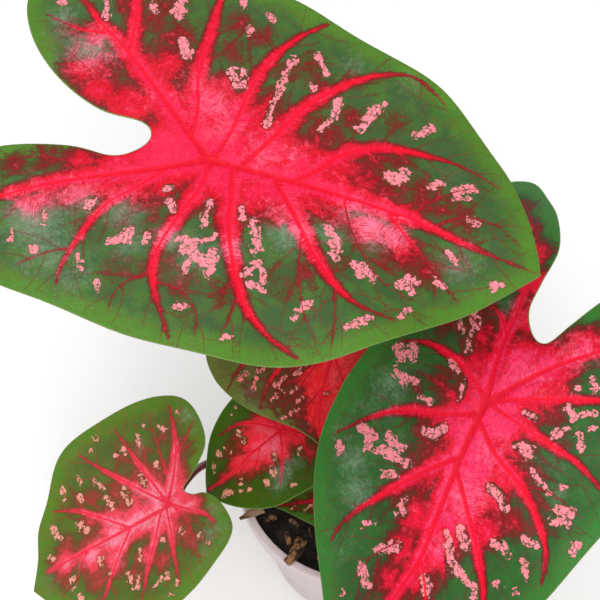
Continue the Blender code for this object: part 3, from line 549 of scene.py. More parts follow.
# Colours, 0 to 255 as seen. A leaf's own come before the shared ones.
LEAF_COLOURS = {
    "a": {"Green": (42, 90, 46), "Margin": (70, 128, 36), "Fleck": (228, 124, 132)},
    "b": {
        "Green": (24, 90, 38), "Margin": (38, 120, 42), "Fleck": (230, 124, 130),
        "Olive": (40, 60, 30), "Crimson": (228, 8, 48), "Bright": (250, 46, 98),
    },
    "c": {
        # Leaf c's dark Green, and its Olive and Deep below, are partly painted shade from leaf a above it
        "Green": (76, 92, 30), "Margin": (92, 114, 44), "Fleck": (224, 108, 98),
        # Crimson and Bright here are lightened: painted light that makes up for the shade of leaf a
        "Olive": (74, 54, 18), "Deep": (108, 16, 14), "Crimson": (252, 24, 34), "Bright": (255, 50, 56),
    },
    "d": {
        "Green": (38, 88, 0), "Margin": (44, 98, 2), "Fleck": (232, 152, 118),
        # Crimson and Bright are lightened: painted light that makes up for the shade over leaf d
        "Olive": (62, 58, 8), "Deep": (134, 38, 20), "Crimson": (250, 36, 56), "Bright": (255, 78, 100),
    },
    "e": {
        "Green": (58, 112, 20), "Margin": (64, 126, 32), "Fleck": (240, 176, 140), "Olive": (62, 70, 14),
    },
    "f": {
        "Green": (60, 100, 36), "Margin": (70, 130, 30), "Fleck": (232, 150, 128),
        # Crimson and Bright are lighter, partly own pink and partly painted light making up for shade on f
        "Olive": (84, 74, 34), "Deep": (150, 56, 44), "Crimson": (246, 64, 88), "Bright": (255, 134, 156),
        "Vein": (236, 30, 62), "Far vein": (200, 40, 54), "Heart vein": (222, 24, 58),
    },
}
SHARED_COLOURS = {
    "Olive": (66, 62, 26), "Deep": (116, 12, 20), "Crimson": (216, 4, 38),
    "Bright": (240, 28, 74), "Vein": (226, 0, 36), "Far vein": (140, 18, 28), "Heart vein": (210, 0, 32),
    # Pink glaze and Green glaze: a pale sheen painted into the colour, a painted highlight; the pink also
    # pales flecks
    "Pink fleck and painted sheen": (250, 164, 196), "Green painted sheen": (160, 180, 156), "Rim": (104, 132, 60),
    "Under green": (128, 158, 112), "Under red": (202, 96, 108),
}

# Dry sheath over the lip, as in the model
SHEATH_AT = (-45.4 * MM, -20.4 * MM)
SHEATH_LENGTH = 11 * MM
SHEATH_WIDTH = 5 * MM
SHEATH_TURN = math.radians(28)
SHEATH_CELLS = (44, 18)
SHEATH_THICKNESS = 0.22 * MM
SHEATH_LIFT = 0.4 * MM


def linear(colour):
    """A colour of 0 to 255 as seen, turned into the renderer's own scale."""
    return (*(((c / 255 + 0.055) / 1.055) ** 2.4 if c > 10 else c / 3294.6 for c in colour), 1)


def placed(name, data):
    """A new object in the scene."""
    made = bpy.data.objects.new(name, data)
    bpy.context.scene.collection.objects.link(made)
    return made


def mesh_of(name, bm, material):
    mesh = bpy.data.meshes.new(name)
    bm.to_mesh(mesh)
    bm.free()
    mesh.materials.append(material)
    return mesh


def finished(name, bm, material, nodes=()):
    """Turns a bmesh into a smooth piece that rides on the part and stands for its nodes."""
    mesh = mesh_of(name, bm, material)
    mesh.shade_smooth()
    piece = placed(name, mesh)
    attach(piece, "root")
    if nodes:
        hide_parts(*nodes)
    return piece


class Wiring:
    """One node tree, with short ways to add and link its nodes."""

    def __init__(self, tree):
        self.tree = tree

    def feed(self, socket, value):
        if isinstance(value, bpy.types.NodeSocket):
            self.tree.links.new(value, socket)
        else:
            socket.default_value = value

    def node(self, kind, **settings):
        made = self.tree.nodes.new("ShaderNode" + kind)
        for name, value in settings.items():
            setattr(made, name, value)
        return made

    def math(self, operation, *values, clamp=False):
        made = self.node("Math", operation=operation, use_clamp=clamp)
        for socket, value in zip(made.inputs, values):
            self.feed(socket, value)
        return made.outputs[0]

    def times(self, first, second, clamp=False):
        return self.math("MULTIPLY", first, second, clamp=clamp)

    def plus(self, base, part, share=1.0):
        """The base and a share of the part."""
        return self.math("MULTIPLY_ADD", part, share, base)

    def smooth(self, value, low, high):
        """0 at low, 1 at high and a soft step between them."""
        made = self.node("MapRange", interpolation_type="SMOOTHSTEP")
        self.feed(made.inputs["Value"], value)
        self.feed(made.inputs["From Min"], low)
        self.feed(made.inputs["From Max"], high)
        return made.outputs["Result"]

    def mix(self, share, first, second):
        made = self.node("Mix", data_type="RGBA")
        self.feed(made.inputs[0], share)
        self.feed(made.inputs[6], first)
        self.feed(made.inputs[7], second)
        return made.outputs[2]

    def noise(self, vector, scale, detail=2.0, roughness=0.5, output="Fac"):
        made = self.node("TexNoise")
        self.feed(made.inputs["Vector"], vector)
        made.inputs["Scale"].default_value = scale
        made.inputs["Detail"].default_value = detail
        made.inputs["Roughness"].default_value = roughness
        return made.outputs[output]

    def cells(self, vector, scale):
        """A value for each small cell, and the distance from its edge."""
        found = []
        for feature, output in (("F1", "Color"), ("DISTANCE_TO_EDGE", "Distance")):
            made = self.node("TexVoronoi", feature=feature)
            self.feed(made.inputs["Vector"], vector)
            made.inputs["Scale"].default_value = scale
            found.append(made.outputs[output])
        return self.split(found[0])[0], found[1]

    def attribute(self, name):
        return self.node("Attribute", attribute_name=name).outputs["Vector"]

    def split(self, vector):
        made = self.node("SeparateXYZ")
        self.feed(made.inputs[0], vector)
        return made.outputs

    def join(self, x, y, z=0.0):
        made = self.node("CombineXYZ")
        for socket, value in zip(made.inputs, (x, y, z)):
            self.feed(socket, value)
        return made.outputs[0]

    def length(self, vector):
        made = self.node("VectorMath", operation="LENGTH")
        self.feed(made.inputs[0], vector)
        return made.outputs["Value"]

    def shifted(self, vector, by, amount):
        """A vector pushed about by a noise, to take the ruled look off what reads it."""
        made = self.node("VectorMath", operation="MULTIPLY_ADD")
        self.feed(made.inputs[0], by)
        made.inputs[1].default_value = (amount, amount, 0)
        self.feed(made.inputs[2], vector)
        return made.outputs[0]


def new_group(name, inputs, outputs):
    tree = bpy.data.node_groups.new(name, "ShaderNodeTree")
    for label, kind, value in inputs:
        socket = tree.interface.new_socket(label, in_out="INPUT", socket_type="NodeSocket" + kind)
        socket.default_value = value
    for label, kind in outputs:
        tree.interface.new_socket(label, in_out="OUTPUT", socket_type="NodeSocket" + kind)
    given = tree.nodes.new("NodeGroupInput")
    result = tree.nodes.new("NodeGroupOutput")
    return Wiring(tree), given.outputs, result.inputs


def new_material(name):
    made = bpy.data.materials.new(name)
    made.use_nodes = True
    wiring = Wiring(made.node_tree)
    shader = made.node_tree.nodes["Principled BSDF"]
    return made, wiring, shader


def bumped(wiring, shader, height, distance):
    bump = wiring.node("Bump")
    bump.inputs["Distance"].default_value = distance
    bump.inputs["Strength"].default_value = 1.0
    wiring.feed(bump.inputs["Height"], height)
    wiring.feed(shader.inputs["Normal"], bump.outputs["Normal"])


def leaf_marks(w):
    """What the mesh carries: places, veins, side veins, painted marks and the way to the rim."""
    side, gap, run = w.split(w.attribute("veins"))
    twig_side, twig_gap, calm = w.split(w.attribute("twigs"))
    red, painted_sheen, fleck = w.split(w.attribute("marks"))
    edge, under, _ = w.split(w.attribute("rims"))
    return SimpleNamespace(
        flat=w.attribute("flat"), side=side, gap=gap, run=run,
        twig_side=twig_side, twig_gap=twig_gap, calm=calm,
        red=red, painted_sheen=painted_sheen, fleck=fleck, edge=edge, under=under,
    )


def skin_grains(w, marks):
    """Grain, patches, the small cells between the finest veins, and hatching across the main
    veins. Those that are added to other values are also given with their middle at nought."""
    flat = marks.flat
    grain = w.noise(flat, 1.9, 3.0, 0.65)
    lumps = w.noise(flat, 0.85, 2.0, 0.55)
    broad = w.noise(flat, 0.11, 2.0)
    patchy = w.noise(flat, 0.3, 3.0, 0.6)
    bent = w.shifted(flat, w.noise(flat, 0.8, output="Color"), 1.6)
    cell, cell_edge = w.cells(bent, 1.0)
    block, block_edge = w.cells(bent, 0.52)
    net = w.smooth(cell_edge, 0.14, 0.03)
    crack = w.smooth(block_edge, 0.15, 0.07)
    slant = w.plus(w.times(marks.gap, -0.8), marks.run, 2.2)
    hatch = w.smooth(w.noise(w.join(slant, w.times(marks.gap, 0.3)), 1.0, 1.0, 0.5), 0.56, 0.38)
    hatch = w.times(hatch, w.smooth(marks.calm, 0.15, 0.8))
    grains = SimpleNamespace(
        grain=grain, lumps=lumps, broad=broad, patchy=patchy,
        cell=cell, net=net, crack=crack, hatch=hatch,
    )
    off_grain, off_lumps, off_broad, off_patchy, off_cell, off_block = (
        w.math("SUBTRACT", value, 0.5) for value in (grain, lumps, broad, patchy, cell, block)
    )
    off = SimpleNamespace(
        grain=off_grain, lumps=off_lumps, broad=off_broad,
        patchy=off_patchy, cell=off_cell, block=off_block,
    )
    return grains, off


def ragged_red(w, given, marks, off):
    """Redness, broken up where it meets the green and lost round each fleck."""
    ragged = w.times(off.grain, 0.8)
    for part, share in ((off.lumps, 1.0), (off.cell, 0.3), (off.patchy, 1.5), (off.broad, 1.6)):
        ragged = w.plus(ragged, part, share)
    red = w.plus(marks.red, ragged, given["Mottle"])
    red = w.plus(red, w.smooth(marks.twig_gap, 1.5, 0.1), 0.4)
    near_fleck = w.smooth(marks.fleck, -1.3, -0.2)
    darkest = w.math("MINIMUM", red, -0.7)
    red = w.plus(w.math("MINIMUM", red, 1.5), near_fleck, -0.9)
    return w.math("MAXIMUM", red, darkest)


def ground_colours(w, given, marks, grains, off, red):
    """Green with a brighter margin and olive blotches, then the steps up to the brightest red."""
    skin = w.mix(w.times(w.smooth(grains.broad, 0.4, 0.66), 0.4), given["Green"], given["Margin"])
    uneven_edge = w.plus(marks.edge, off.broad, 14.0)
    skin = w.mix(w.smooth(uneven_edge, 11.0, 1.5), skin, given["Margin"])
    blotch = w.plus(grains.patchy, off.grain, 1.3)
    skin = w.mix(w.times(w.smooth(blotch, 0.45, 0.85), 0.35), skin, given["Olive"])
    for label, low, high in (
        ("Olive", -1.6, -0.85), ("Deep", -1.1, -0.45), ("Crimson", -0.5, 0.45), ("Bright", 0.5, 1.5),
    ):
        skin = w.mix(w.smooth(red, low, high), skin, given[label])
    return skin


def fine_veins(w, marks, grains, redness):
    """A dark net in the green, hatching in the red, and thin side veins over both."""
    in_green = w.plus(w.times(grains.net, 0.24), grains.hatch, 0.16)
    in_red = w.plus(w.times(grains.net, 0.27), grains.hatch, 0.42)
    twig = w.smooth(w.math("ABSOLUTE", marks.twig_side), 1.5, 0.5)
    twig = w.times(twig, w.smooth(marks.twig_gap, 1.6, 1.0))
    twig = w.times(twig, w.plus(w.math("ADD", grains.grain, 0.35), redness, -0.35))
    off_ring = w.plus(w.math("SUBTRACT", marks.edge, 8.6), grains.patchy, 5.0)
    collecting = w.times(w.smooth(w.math("ABSOLUTE", off_ring), 0.42, 0.1), 0.42)
    return w.math("MAXIMUM", w.mix(redness, in_green, in_red), w.math("MAXIMUM", twig, collecting))


def painted_sheen_mask(w, marks, grains, off, fine):
    """Where the painted sheen lies, a pale highlight painted into the colour, in streaks and patches."""
    mottled = w.plus(w.plus(marks.painted_sheen, off.lumps, 0.9), off.patchy, 1.1)
    painted_sheen_share = w.times(w.smooth(mottled, 0.0, 1.2), w.plus(0.22, grains.grain, 0.5))
    streaks = w.plus(w.plus(1.0, fine, -0.6), grains.hatch, -0.35)
    return w.times(painted_sheen_share, streaks, clamp=True)


def fleck_masks(w, marks, grains, off):
    """The olive edge round a fleck, and the fleck, which stops at the small cells and is cracked."""
    inside = w.plus(marks.fleck, off.block, 1.7)
    inside = w.plus(inside, off.lumps, 1.6)
    inside = w.plus(inside, off.grain, 0.9)
    crack = w.times(grains.crack, w.smooth(w.math("ADD", grains.cell, grains.lumps), 0.85, 1.15))
    flecked = w.times(w.smooth(inside, -0.07, 0.07), w.plus(1.0, crack, -0.85))
    return w.smooth(inside, -0.6, -0.1), flecked


def vein_mask(w, marks, grains):
    """The dark line of a main vein."""
    line = w.smooth(w.math("ABSOLUTE", marks.side), 1.5, 0.6)
    line = w.times(line, w.smooth(marks.gap, 2.2, 1.4))
    return w.times(line, w.plus(0.55, grains.grain, 0.7), clamp=True)


def leaf_skin_group():
    """Colour, roughness and height of a leaf's skin, from the marks that its mesh carries."""
    colours = [(label, "Color", linear(colour)) for label, colour in SHARED_COLOURS.items()]
    colours += [(label, "Color", linear(colour)) for label, colour in LEAF_COLOURS["a"].items()]
    w, given, result = new_group(
        "leaf_skin", [*colours, ("Mottle", "Float", 1.0)],
        (("Colour", "Color"), ("Roughness", "Float"), ("Height", "Float")),
    )
    marks = leaf_marks(w)
    grains, off = skin_grains(w, marks)
    red = ragged_red(w, given, marks, off)
    redness = w.smooth(red, -0.6, 0.2)
    fine = fine_veins(w, marks, grains, redness)
    painted_sheen_share = painted_sheen_mask(w, marks, grains, off, fine)
    fringe, flecked = fleck_masks(w, marks, grains, off)
    line = vein_mask(w, marks, grains)

    # Ground colours under the fine veins
    skin = ground_colours(w, given, marks, grains, off, red)
    fine_colour = w.mix(redness, w.mix(0.5, given["Olive"], given["Far vein"]), given["Deep"])
    skin = w.mix(w.times(fine, w.plus(0.85, redness, -0.2)), skin, fine_colour)

    # Painted sheen, a pale highlight painted into the colour, then the flecks
    skin = w.mix(painted_sheen_share, skin, w.mix(redness, given["Green painted sheen"], given["Pink fleck and painted sheen"]))
    skin = w.mix(fringe, skin, w.mix(0.5, skin, given["Olive"]))
    pale = w.mix(w.times(w.smooth(grains.lumps, 0.4, 0.65), 0.3), given["Fleck"], given["Pink fleck and painted sheen"])
    skin = w.mix(flecked, skin, pale)

    # Main veins, deepest where the stalk joins, and the pale rim
    vein = w.mix(w.smooth(marks.red, -0.2, 0.6), given["Far vein"], given["Vein"])
    vein = w.mix(w.smooth(marks.red, 1.5, 2.3), vein, given["Heart vein"])
    skin = w.mix(line, skin, vein)
    heart = w.times(w.smooth(w.length(marks.flat), 5.5, 1.0), 0.6)
    skin = w.mix(heart, skin, given["Heart vein"])
    skin = w.mix(w.smooth(marks.edge, 0.42, 0.2), skin, given["Rim"])

    # Underside
    below = w.mix(w.smooth(red, -0.3, 0.5), given["Under green"], given["Under red"])
    below = w.mix(w.times(line, 0.7), below, given["Under red"])
    below = w.mix(w.times(grains.net, 0.3), below, given["Olive"])

    w.feed(result["Colour"], w.mix(marks.under, skin, below))
    w.feed(result["Roughness"], w.plus(w.plus(0.3, flecked, 0.1), grains.grain, 0.16))
    relief = w.plus(w.times(grains.grain, 0.5), fine, -0.8)
    w.feed(result["Height"], w.plus(relief, line, -0.5))
    return w.tree


def leaf_material(letter, group):
    made, w, shader = new_material("leaf_" + letter)
    skin = w.node("Group", node_tree=group)
    for label, colour in {**SHARED_COLOURS, **LEAF_COLOURS[letter]}.items():
        skin.inputs[label].default_value = linear(colour)
    skin.inputs["Mottle"].default_value = LEAVES[letter]["mottle"]
    w.feed(shader.inputs["Base Color"], skin.outputs["Colour"])
    w.feed(shader.inputs["Roughness"], skin.outputs["Roughness"])
    shader.inputs["Specular IOR Level"].default_value = 0.14
    bumped(w, shader, skin.outputs["Height"], 0.16 * MM)
    return made


def glide(before, here, there, after, share):
    """A point part way from here to there on a smooth line that passes through all four."""
    rise = (there - before) * share
    bend = (2 * before - 5 * here + 4 * there - after) * share ** 2
    twist = (3 * here - before - 3 * there + after) * share ** 3
    return here + 0.5 * (rise + bend + twist)


def smooth_run(points, steps, closed=False):
    """A smooth line through the points. A closed one comes back to its first point, a corner."""
    knots = [Vector(point) for point in points]
    if closed:
        knots.append(knots[0])
    line = []
    for k in range(len(knots) - 1):
        here, there = knots[k], knots[k + 1]
        before = knots[k - 1] if k else here * 2 - there
        after = knots[k + 2] if k + 2 < len(knots) else there * 2 - here
        line += [glide(before, here, there, after, step / steps) for step in range(steps)]
    return line if closed else [*line, knots[-1]]


def arrays(line):
    return [np.array(point) for point in line]


def bell(away, reach):
    """1 in the middle, with a soft fall to nought past the reach. Arrays."""
    return np.exp(-((away / reach) ** 2))


def rising(away, reach):
    """0 at nought and 1 from the reach on. Arrays."""
    return np.clip(away / reach, 0, 1)


def blade_height(leaf, x, y):
    """Height of the blade over its own plane, with its fold, droop and waved edge. Arrays, mm."""
    fold = leaf["fold"] * (np.sqrt(y * y + FOLD_ROUND ** 2) - FOLD_ROUND)
    droop = np.where(x > 0, leaf["droop_tip"], leaf["droop_lobes"]) * x * x
    sides = leaf["droop_sides"] * y * y
    out = np.minimum(WAVE_LIMIT, np.hypot(x, y) / leaf["reach"])
    wave = leaf["wave"] * out ** 3 * np.sin(leaf["waves"] * np.arctan2(y, x) + WAVE_START)
    return fold - droop - sides + wave


def blade_matrix(leaf):
    """The blade's frame: heading about Z, nose down by the pitch, then rolled about the midrib."""
    turn = Matrix.Rotation(math.radians(leaf["heading"]), 4, "Z")
    nose = Matrix.Rotation(math.radians(leaf["pitch"]), 4, "Y")
    roll = Matrix.Rotation(math.radians(leaf["roll"]), 4, "X")
    return Matrix.Translation(Vector(leaf["junction"]) * MM) @ turn @ nose @ roll


def segment_places(spots, start, end):
    """Share of the way along a segment, signed side and distance from it, of each spot."""
    step = end - start
    share = np.clip((spots - start) @ step / (step @ step), 0, 1)
    off = spots - start - share[:, None] * step
    away = np.hypot(off[:, 0], off[:, 1])
    side = np.sign(step[0] * off[:, 1] - step[1] * off[:, 0])
    return share, side, away


def distance_to_line(spots, line):
    """Distance of each spot from a run of points."""
    nearest = np.full(len(spots), FAR_OFF)
    for start, end in zip(line, line[1:]):
        nearest = np.minimum(nearest, segment_places(spots, start, end)[2])
    return nearest


def along_vein(spots, root, line):
    """Distance of each spot from one vein, which side of it, the way run along it as far as the
    spot and as a share of its length, and the vein's half width there."""
    lengths = [math.dist(a, b) for a, b in zip(line, line[1:])]
    whole = sum(lengths)
    gap = np.full(len(spots), FAR_OFF)
    hand, run = np.zeros(len(spots)), np.zeros(len(spots))
    travelled = 0
    for start, end, length in zip(line, line[1:], lengths):
        share, side, away = segment_places(spots, start, end)
        nearer = away < gap
        gap = np.where(nearer, away, gap)
        hand = np.where(nearer, side, hand)
        run = np.where(nearer, travelled + share * length, run)
        travelled += length
    return gap, hand, run, run / whole, root * (1 - VEIN_TAPER * run / whole)


def vein_marks(spots, veins):
    """Side of the nearest vein in half widths, distance from it, distance run along it, its half
    width, how far off the next vein is and the redness that the veins' glow gives."""
    gap, second = np.full(len(spots), FAR_OFF), np.full(len(spots), FAR_OFF)
    side, run, half = (np.zeros(len(spots)) for _ in range(3))
    red = np.full(len(spots), REDLESS)
    for number, (root, glow, end_glow, line) in enumerate(veins):
        away, hand, along, share, width = along_vein(spots, root, line)
        second = np.minimum(second, np.maximum(away, gap))
        nearer = away < gap
        gap = np.where(nearer, away, gap)
        side = np.where(nearer, hand * away / width, side)
        run = np.where(nearer, along + RUN_APART * number, run)
        half = np.where(nearer, width, half)
        reach = glow + (end_glow - glow) * np.sqrt(share)
        red = np.maximum(red, (reach - away) / (RED_FADE + RED_FADE_SHARE * np.abs(reach)))
    return side, gap, run, half, second, red


def nearest(spot, crowd):
    """Distance of a spot from the nearest of a crowd of points."""
    return np.min(np.hypot(crowd[:, 0] - spot.x, crowd[:, 1] - spot.y))


def side_veins(leaf, rim, rng):
    """Thin branches that leave the main veins in turn and stop short of the next vein."""
    lines = [smooth_run(points, TWIG_VEIN_STEPS) for _, _, _, points in leaf["veins"]]
    clouds = [np.array(line) for line in lines]
    pace = leaf["branching"] / TWIG_PACES
    grown = []
    for number, line in enumerate(lines):
        others = np.concatenate(clouds[:number] + clouds[number + 1:])
        hand = 1
        since = leaf["branching"] * rng.uniform(*TWIG_START)
        for k in range(1, len(line) - 4):
            since += (line[k] - line[k - 1]).length
            if since < leaf["branching"]:
                continue
            since = rng.uniform(0, TWIG_UNEVEN) * leaf["branching"]
            hand = -hand
            way = (line[k + 1] - line[k]).normalized()
            way.rotate(Matrix.Rotation(hand * math.radians(rng.uniform(*TWIG_TURN)), 2))
            path = [line[k]]
            for _ in range(rng.randint(*TWIG_LENGTH)):
                path.append(path[-1] + way * pace)
                way.rotate(Matrix.Rotation(math.radians(rng.uniform(*TWIG_BEND) * hand), 2))
                if nearest(path[-1], rim) < TWIG_RIM_GAP:
                    break
                if nearest(path[-1], others) < pace * TWIG_VEIN_GAP:
                    break
            if len(path) > 3:
                grown.append((TWIG_HALF, 0, 0, arrays(path)))
    return grown


def soft_discs(spots, discs):
    """Strength of soft edged discs at each spot. Where they overlap, the strongest leads."""
    total = np.zeros(len(spots))
    for x, y, radius, strength in discs:
        away = np.hypot(spots[:, 0] - x, spots[:, 1] - y)
        total += (strength * bell(away, radius)) ** 3
    return np.cbrt(total)


def fleck_depth(spots, flecks):
    """Distance inside the nearest fleck's edge. Outside it is below nought."""
    depth = np.full(len(spots), FLECKLESS)
    for x0, y0, x1, y1, width in flecks:
        start, end = np.array((x0, y0)), np.array((x1 + 0.01, y1))
        depth = np.maximum(depth, width / 2 - segment_places(spots, start, end)[2])
    return depth


def slice_sheet(bm, faces, axis, low, high, spacing):
    """Cuts a stretch of a flat sheet down its middle, then each half in turn, to strips of one cell."""
    count = round((high - low) / spacing)
    if count < 2 or not faces:
        return
    middle = low + spacing * (count // 2)
    normal = (1, 0, 0) if axis == 0 else (0, 1, 0)
    edges = {edge for face in faces for edge in face.edges}
    verts = {vert for face in faces for vert in face.verts}
    made = bmesh.ops.bisect_plane(
        bm, geom=[*faces, *edges, *verts], dist=CUT_SNAP, plane_no=normal,
        plane_co=[middle * share for share in normal],
    )
    parts = [item for item in made["geom"] if isinstance(item, bmesh.types.BMFace)]
    beyond = [face for face in parts if max(vert.co[axis] for vert in face.verts) > middle + CUT_SLACK]
    near = [face for face in parts if min(vert.co[axis] for vert in face.verts) < middle - CUT_SLACK]
    slice_sheet(bm, near, axis, low, middle, spacing)
    slice_sheet(bm, beyond, axis, middle, high, spacing)


def flat_sheet(leaf):
    """The leaf's outline as a flat sheet of small squares, with a narrow band round its rim."""
    bm = bmesh.new()
    loop = smooth_run(leaf["outline"], MARGIN_POINTS, closed=True)
    face = bm.faces.new([bm.verts.new((*point, 0)) for point in loop])
    bmesh.ops.inset_region(bm, faces=[face], thickness=RIM_WIDTH, use_even_offset=True)
    cell = leaf["cell"]
    for axis in (0, 1):
        places = [vert.co[axis] for vert in bm.verts]
        low = (math.floor(min(places) / cell) + 0.5) * cell
        high = (math.ceil(max(places) / cell) + 0.5) * cell
        slice_sheet(bm, list(bm.faces), axis, low, high, cell)
    bmesh.ops.remove_doubles(bm, verts=bm.verts, dist=0.12 * cell)
    bmesh.ops.dissolve_degenerate(bm, dist=0.01, edges=bm.edges)
    many = [face for face in bm.faces if len(face.verts) > 4]
    bmesh.ops.triangulate(bm, faces=many)
    return bm


def make_blade(letter, leaf, material):
    rng = random.Random("blade " + letter)
    bm = flat_sheet(leaf)
    spots = np.array([vert.co.xy for vert in bm.verts])
    rim = arrays(smooth_run(leaf["outline"], RIM_STEPS, closed=True))
    edge = distance_to_line(spots, [*rim, rim[0]])
    main = [(*sizes, arrays(smooth_run(points, VEIN_STEPS))) for *sizes, points in leaf["veins"]]
    side, gap, run, half, second, red = vein_marks(spots, main)
    calm = rising(second - gap, VEIN_CALM)
    twig_side, twig_gap, _, _, _, _ = vein_marks(spots, side_veins(leaf, np.array(rim), rng))
    red = np.maximum(red, GREENEST + soft_discs(spots, leaf["tints"]))
    # Painted sheen: soft discs where a pale highlight is painted into the colour
    painted_sheen = np.clip(soft_discs(spots, leaf["painted_sheens"]), 0, 1)
    fleck = fleck_depth(spots, leaf["flecks"])

    groove = GROOVE_SHARE * half * bell(gap, GROOVE_REACH + half)
    swell = SWELL * (1 - bell(gap, SWELL_REACH)) - TWIG_GROOVE * bell(twig_gap, TWIG_REACH)
    top = blade_height(leaf, spots[:, 0], spots[:, 1]) - groove + swell * rising(edge, SWELL_FADE)
    rib = np.minimum(RIB_DEPTH, RIB_SHARE * half) * bell(gap, RIB_SPREAD * half)
    body = RIM_THICKNESS + (BLADE_THICKNESS - RIM_THICKNESS) * rising(edge, RIM_REACH)
    bottom = top - body - rib * rising(edge, RIB_FADE)

    marks = {
        "flat": (spots[:, 0], spots[:, 1], top),
        "veins": (side, gap, run),
        "twigs": (twig_side, twig_gap, calm),
        "marks": (red, painted_sheen, fleck),
        "rims": (edge, np.zeros(len(spots)), bottom),
    }
    layers = {name: bm.verts.layers.float_vector.new(name) for name in marks}
    for name, columns in marks.items():
        layer = layers[name]
        for vert, values in zip(bm.verts, np.column_stack(columns).tolist()):
            vert[layer] = values
    doubled = bmesh.ops.extrude_face_region(bm, geom=list(bm.faces))["geom"]
    for vert in bm.verts:
        vert.co.z = vert[layers["flat"]].z
    for item in doubled:
        if isinstance(item, bmesh.types.BMVert):
            away, _, depth = item[layers["rims"]]
            item[layers["rims"]] = (away, 1, depth)
            item.co.z = depth
    bmesh.ops.recalc_face_normals(bm, faces=bm.faces)
    bmesh.ops.transform(bm, matrix=blade_matrix(leaf) @ Matrix.Scale(MM, 4), verts=bm.verts)
    return finished("leaf_blade_" + letter, bm, material, ["blade_" + letter])


def stalk_line(leaf):
    """Points of a stalk's middle line, from the tuber's crown up to the underside of its blade."""
    matrix = blade_matrix(leaf)
    normal = matrix.to_3x3() @ Vector((0, 0, 1))
    top = matrix.translation - normal * (BLADE_THICKNESS + RIB_DEPTH) * MM
    route = [Vector(point) * MM for point in leaf["stalk"]]
    knots = [*route, top - normal * STALK_KNEE, top]
    line = [Vector((route[0].x, route[0].y, TUBER_HIGH))]
    for k in range(len(knots) - 2):
        here, there = knots[k], knots[k + 1]
        before = knots[k - 1] if k else line[0]
        pace = max(3, round((there - here).length / STALK_STEP))
        line += [glide(before, here, there, knots[k + 2], step / pace) for step in range(pace)]
    return [*line, knots[-2], knots[-2].lerp(top, 0.5), top]


def make_stalk(letter, leaf, material):
    """A round stalk, drawn ring by ring up its line, with a wide base and a spread top."""
    line = stalk_line(leaf)
    low, high = (radius * MM for radius in leaf["stalk_radius"])
    bm = bmesh.new()
    ring = bmesh.ops.create_circle(bm, cap_ends=True, segments=STALK_SIDES, radius=1)["verts"]
    face = ring[0].link_faces[0]
    across = Vector((1, 0, 0))
    travelled = 0
    layer = bm.verts.layers.float_vector.new("stem")
    rings = []
    for k, spot in enumerate(line):
        ahead = (line[min(k + 1, len(line) - 1)] - line[max(k - 1, 0)]).normalized()
        across = (across - ahead * across.dot(ahead)).normalized()
        other = ahead.cross(across)
        travelled += (spot - line[k - 1]).length if k else 0
        radius = low + (high - low) * k / (len(line) - 1)
        radius += STALK_FLARE * low * math.exp(-(max(0, spot.z - SOIL_TOP) / STALK_FLARE_HEIGHT))
        if k > len(line) - 3:
            radius += STALK_SPREAD * (k - len(line) + 3)
        if k:
            face = bmesh.ops.extrude_discrete_faces(bm, faces=[face])["faces"][0]
        rings.append((list(face.verts), spot, across.copy(), other, radius, travelled))
    for verts, spot, across, other, radius, travelled in rings:
        for k, vert in enumerate(verts):
            turn = math.tau * k / STALK_SIDES
            ridge = 1 + STALK_RIDGE * math.cos(STALK_RIDGES * turn)
            vert.co = spot + (across * math.cos(turn) + other * math.sin(turn)) * radius * ridge
            vert[layer] = (travelled, math.cos(turn), math.sin(turn))
    bmesh.ops.holes_fill(bm, edges=bm.edges, sides=STALK_SIDES)
    bmesh.ops.recalc_face_normals(bm, faces=bm.faces)
    return finished("leaf_stalk_" + letter, bm, material, ["stalk_" + letter])


def stalk_material():
    made, w, shader = new_material("stalk_skin")
    travelled, turn_x, turn_y = w.split(w.attribute("stem"))
    round_x, round_y = w.times(turn_x, 5.0), w.times(turn_y, 5.0)
    streaks = w.noise(w.join(w.times(travelled, 60.0), round_x, round_y), 1.6, 3.0, 0.6)
    mottle = w.noise(w.join(w.times(travelled, 260.0), turn_x, turn_y), 1.0, 2.0)
    colour = w.mix(w.smooth(streaks, 0.4, 0.7), linear((92, 6, 26)), linear((140, 22, 48)))
    colour = w.mix(w.smooth(mottle, 0.62, 0.75), colour, linear((58, 2, 16)))
    colour = w.mix(w.smooth(travelled, 0.045, 0.012), colour, linear((168, 120, 96)))
    w.feed(shader.inputs["Base Color"], colour)
    w.feed(shader.inputs["Roughness"], w.plus(0.18, streaks, 0.2))
    shader.inputs["Coat Weight"].default_value = 0.3
    bumped(w, shader, streaks, 0.12 * MM)
    return made


def soil_height(x, y):
    """Height of the model's lumpy soil over a point."""
    lumps = math.sin(190 * x + 1.3) * math.cos(230 * y) + 0.6 * math.sin(410 * x - 350 * y + 0.7)
    fade = min(1, max(0, (SOIL_FADE_END - math.hypot(x, y)) / SOIL_FADE))
    crown = CROWN_RISE * math.exp(-((x * x + y * y) / CROWN_REACH ** 2))
    return SOIL_TOP + crown + SOIL_LUMP * lumps * fade


def wall_radius(height):
    """Outer radius of the pot's wall at a height."""
    return FOOT_RADIUS + (MOUTH_RADIUS + POT_WALL - FOOT_RADIUS) * height / POT_HEIGHT


def spun(profile, sides):
    """A bmesh of (radius, height) points turned right round the Z axis."""
    bm = bmesh.new()
    points = [bm.verts.new((r, 0, z)) for r, z in profile]
    edges = [bm.edges.new(pair) for pair in zip(points, points[1:])]
    bmesh.ops.spin(
        bm, geom=points + edges, cent=(0, 0, 0), axis=(0, 0, 1), angle=math.tau,
        steps=sides, use_merge=True,
    )
    bmesh.ops.remove_doubles(bm, verts=bm.verts, dist=0.01 * MM)
    bmesh.ops.recalc_face_normals(bm, faces=bm.faces)
    return bm


def arc(centre, radius, start, end, steps):
    """Points (radius, height) along an arc given in degrees."""
    turns = [math.radians(start + (end - start) * k / steps) for k in range(steps + 1)]
    return [(centre[0] + radius * math.cos(t), centre[1] + radius * math.sin(t)) for t in turns]


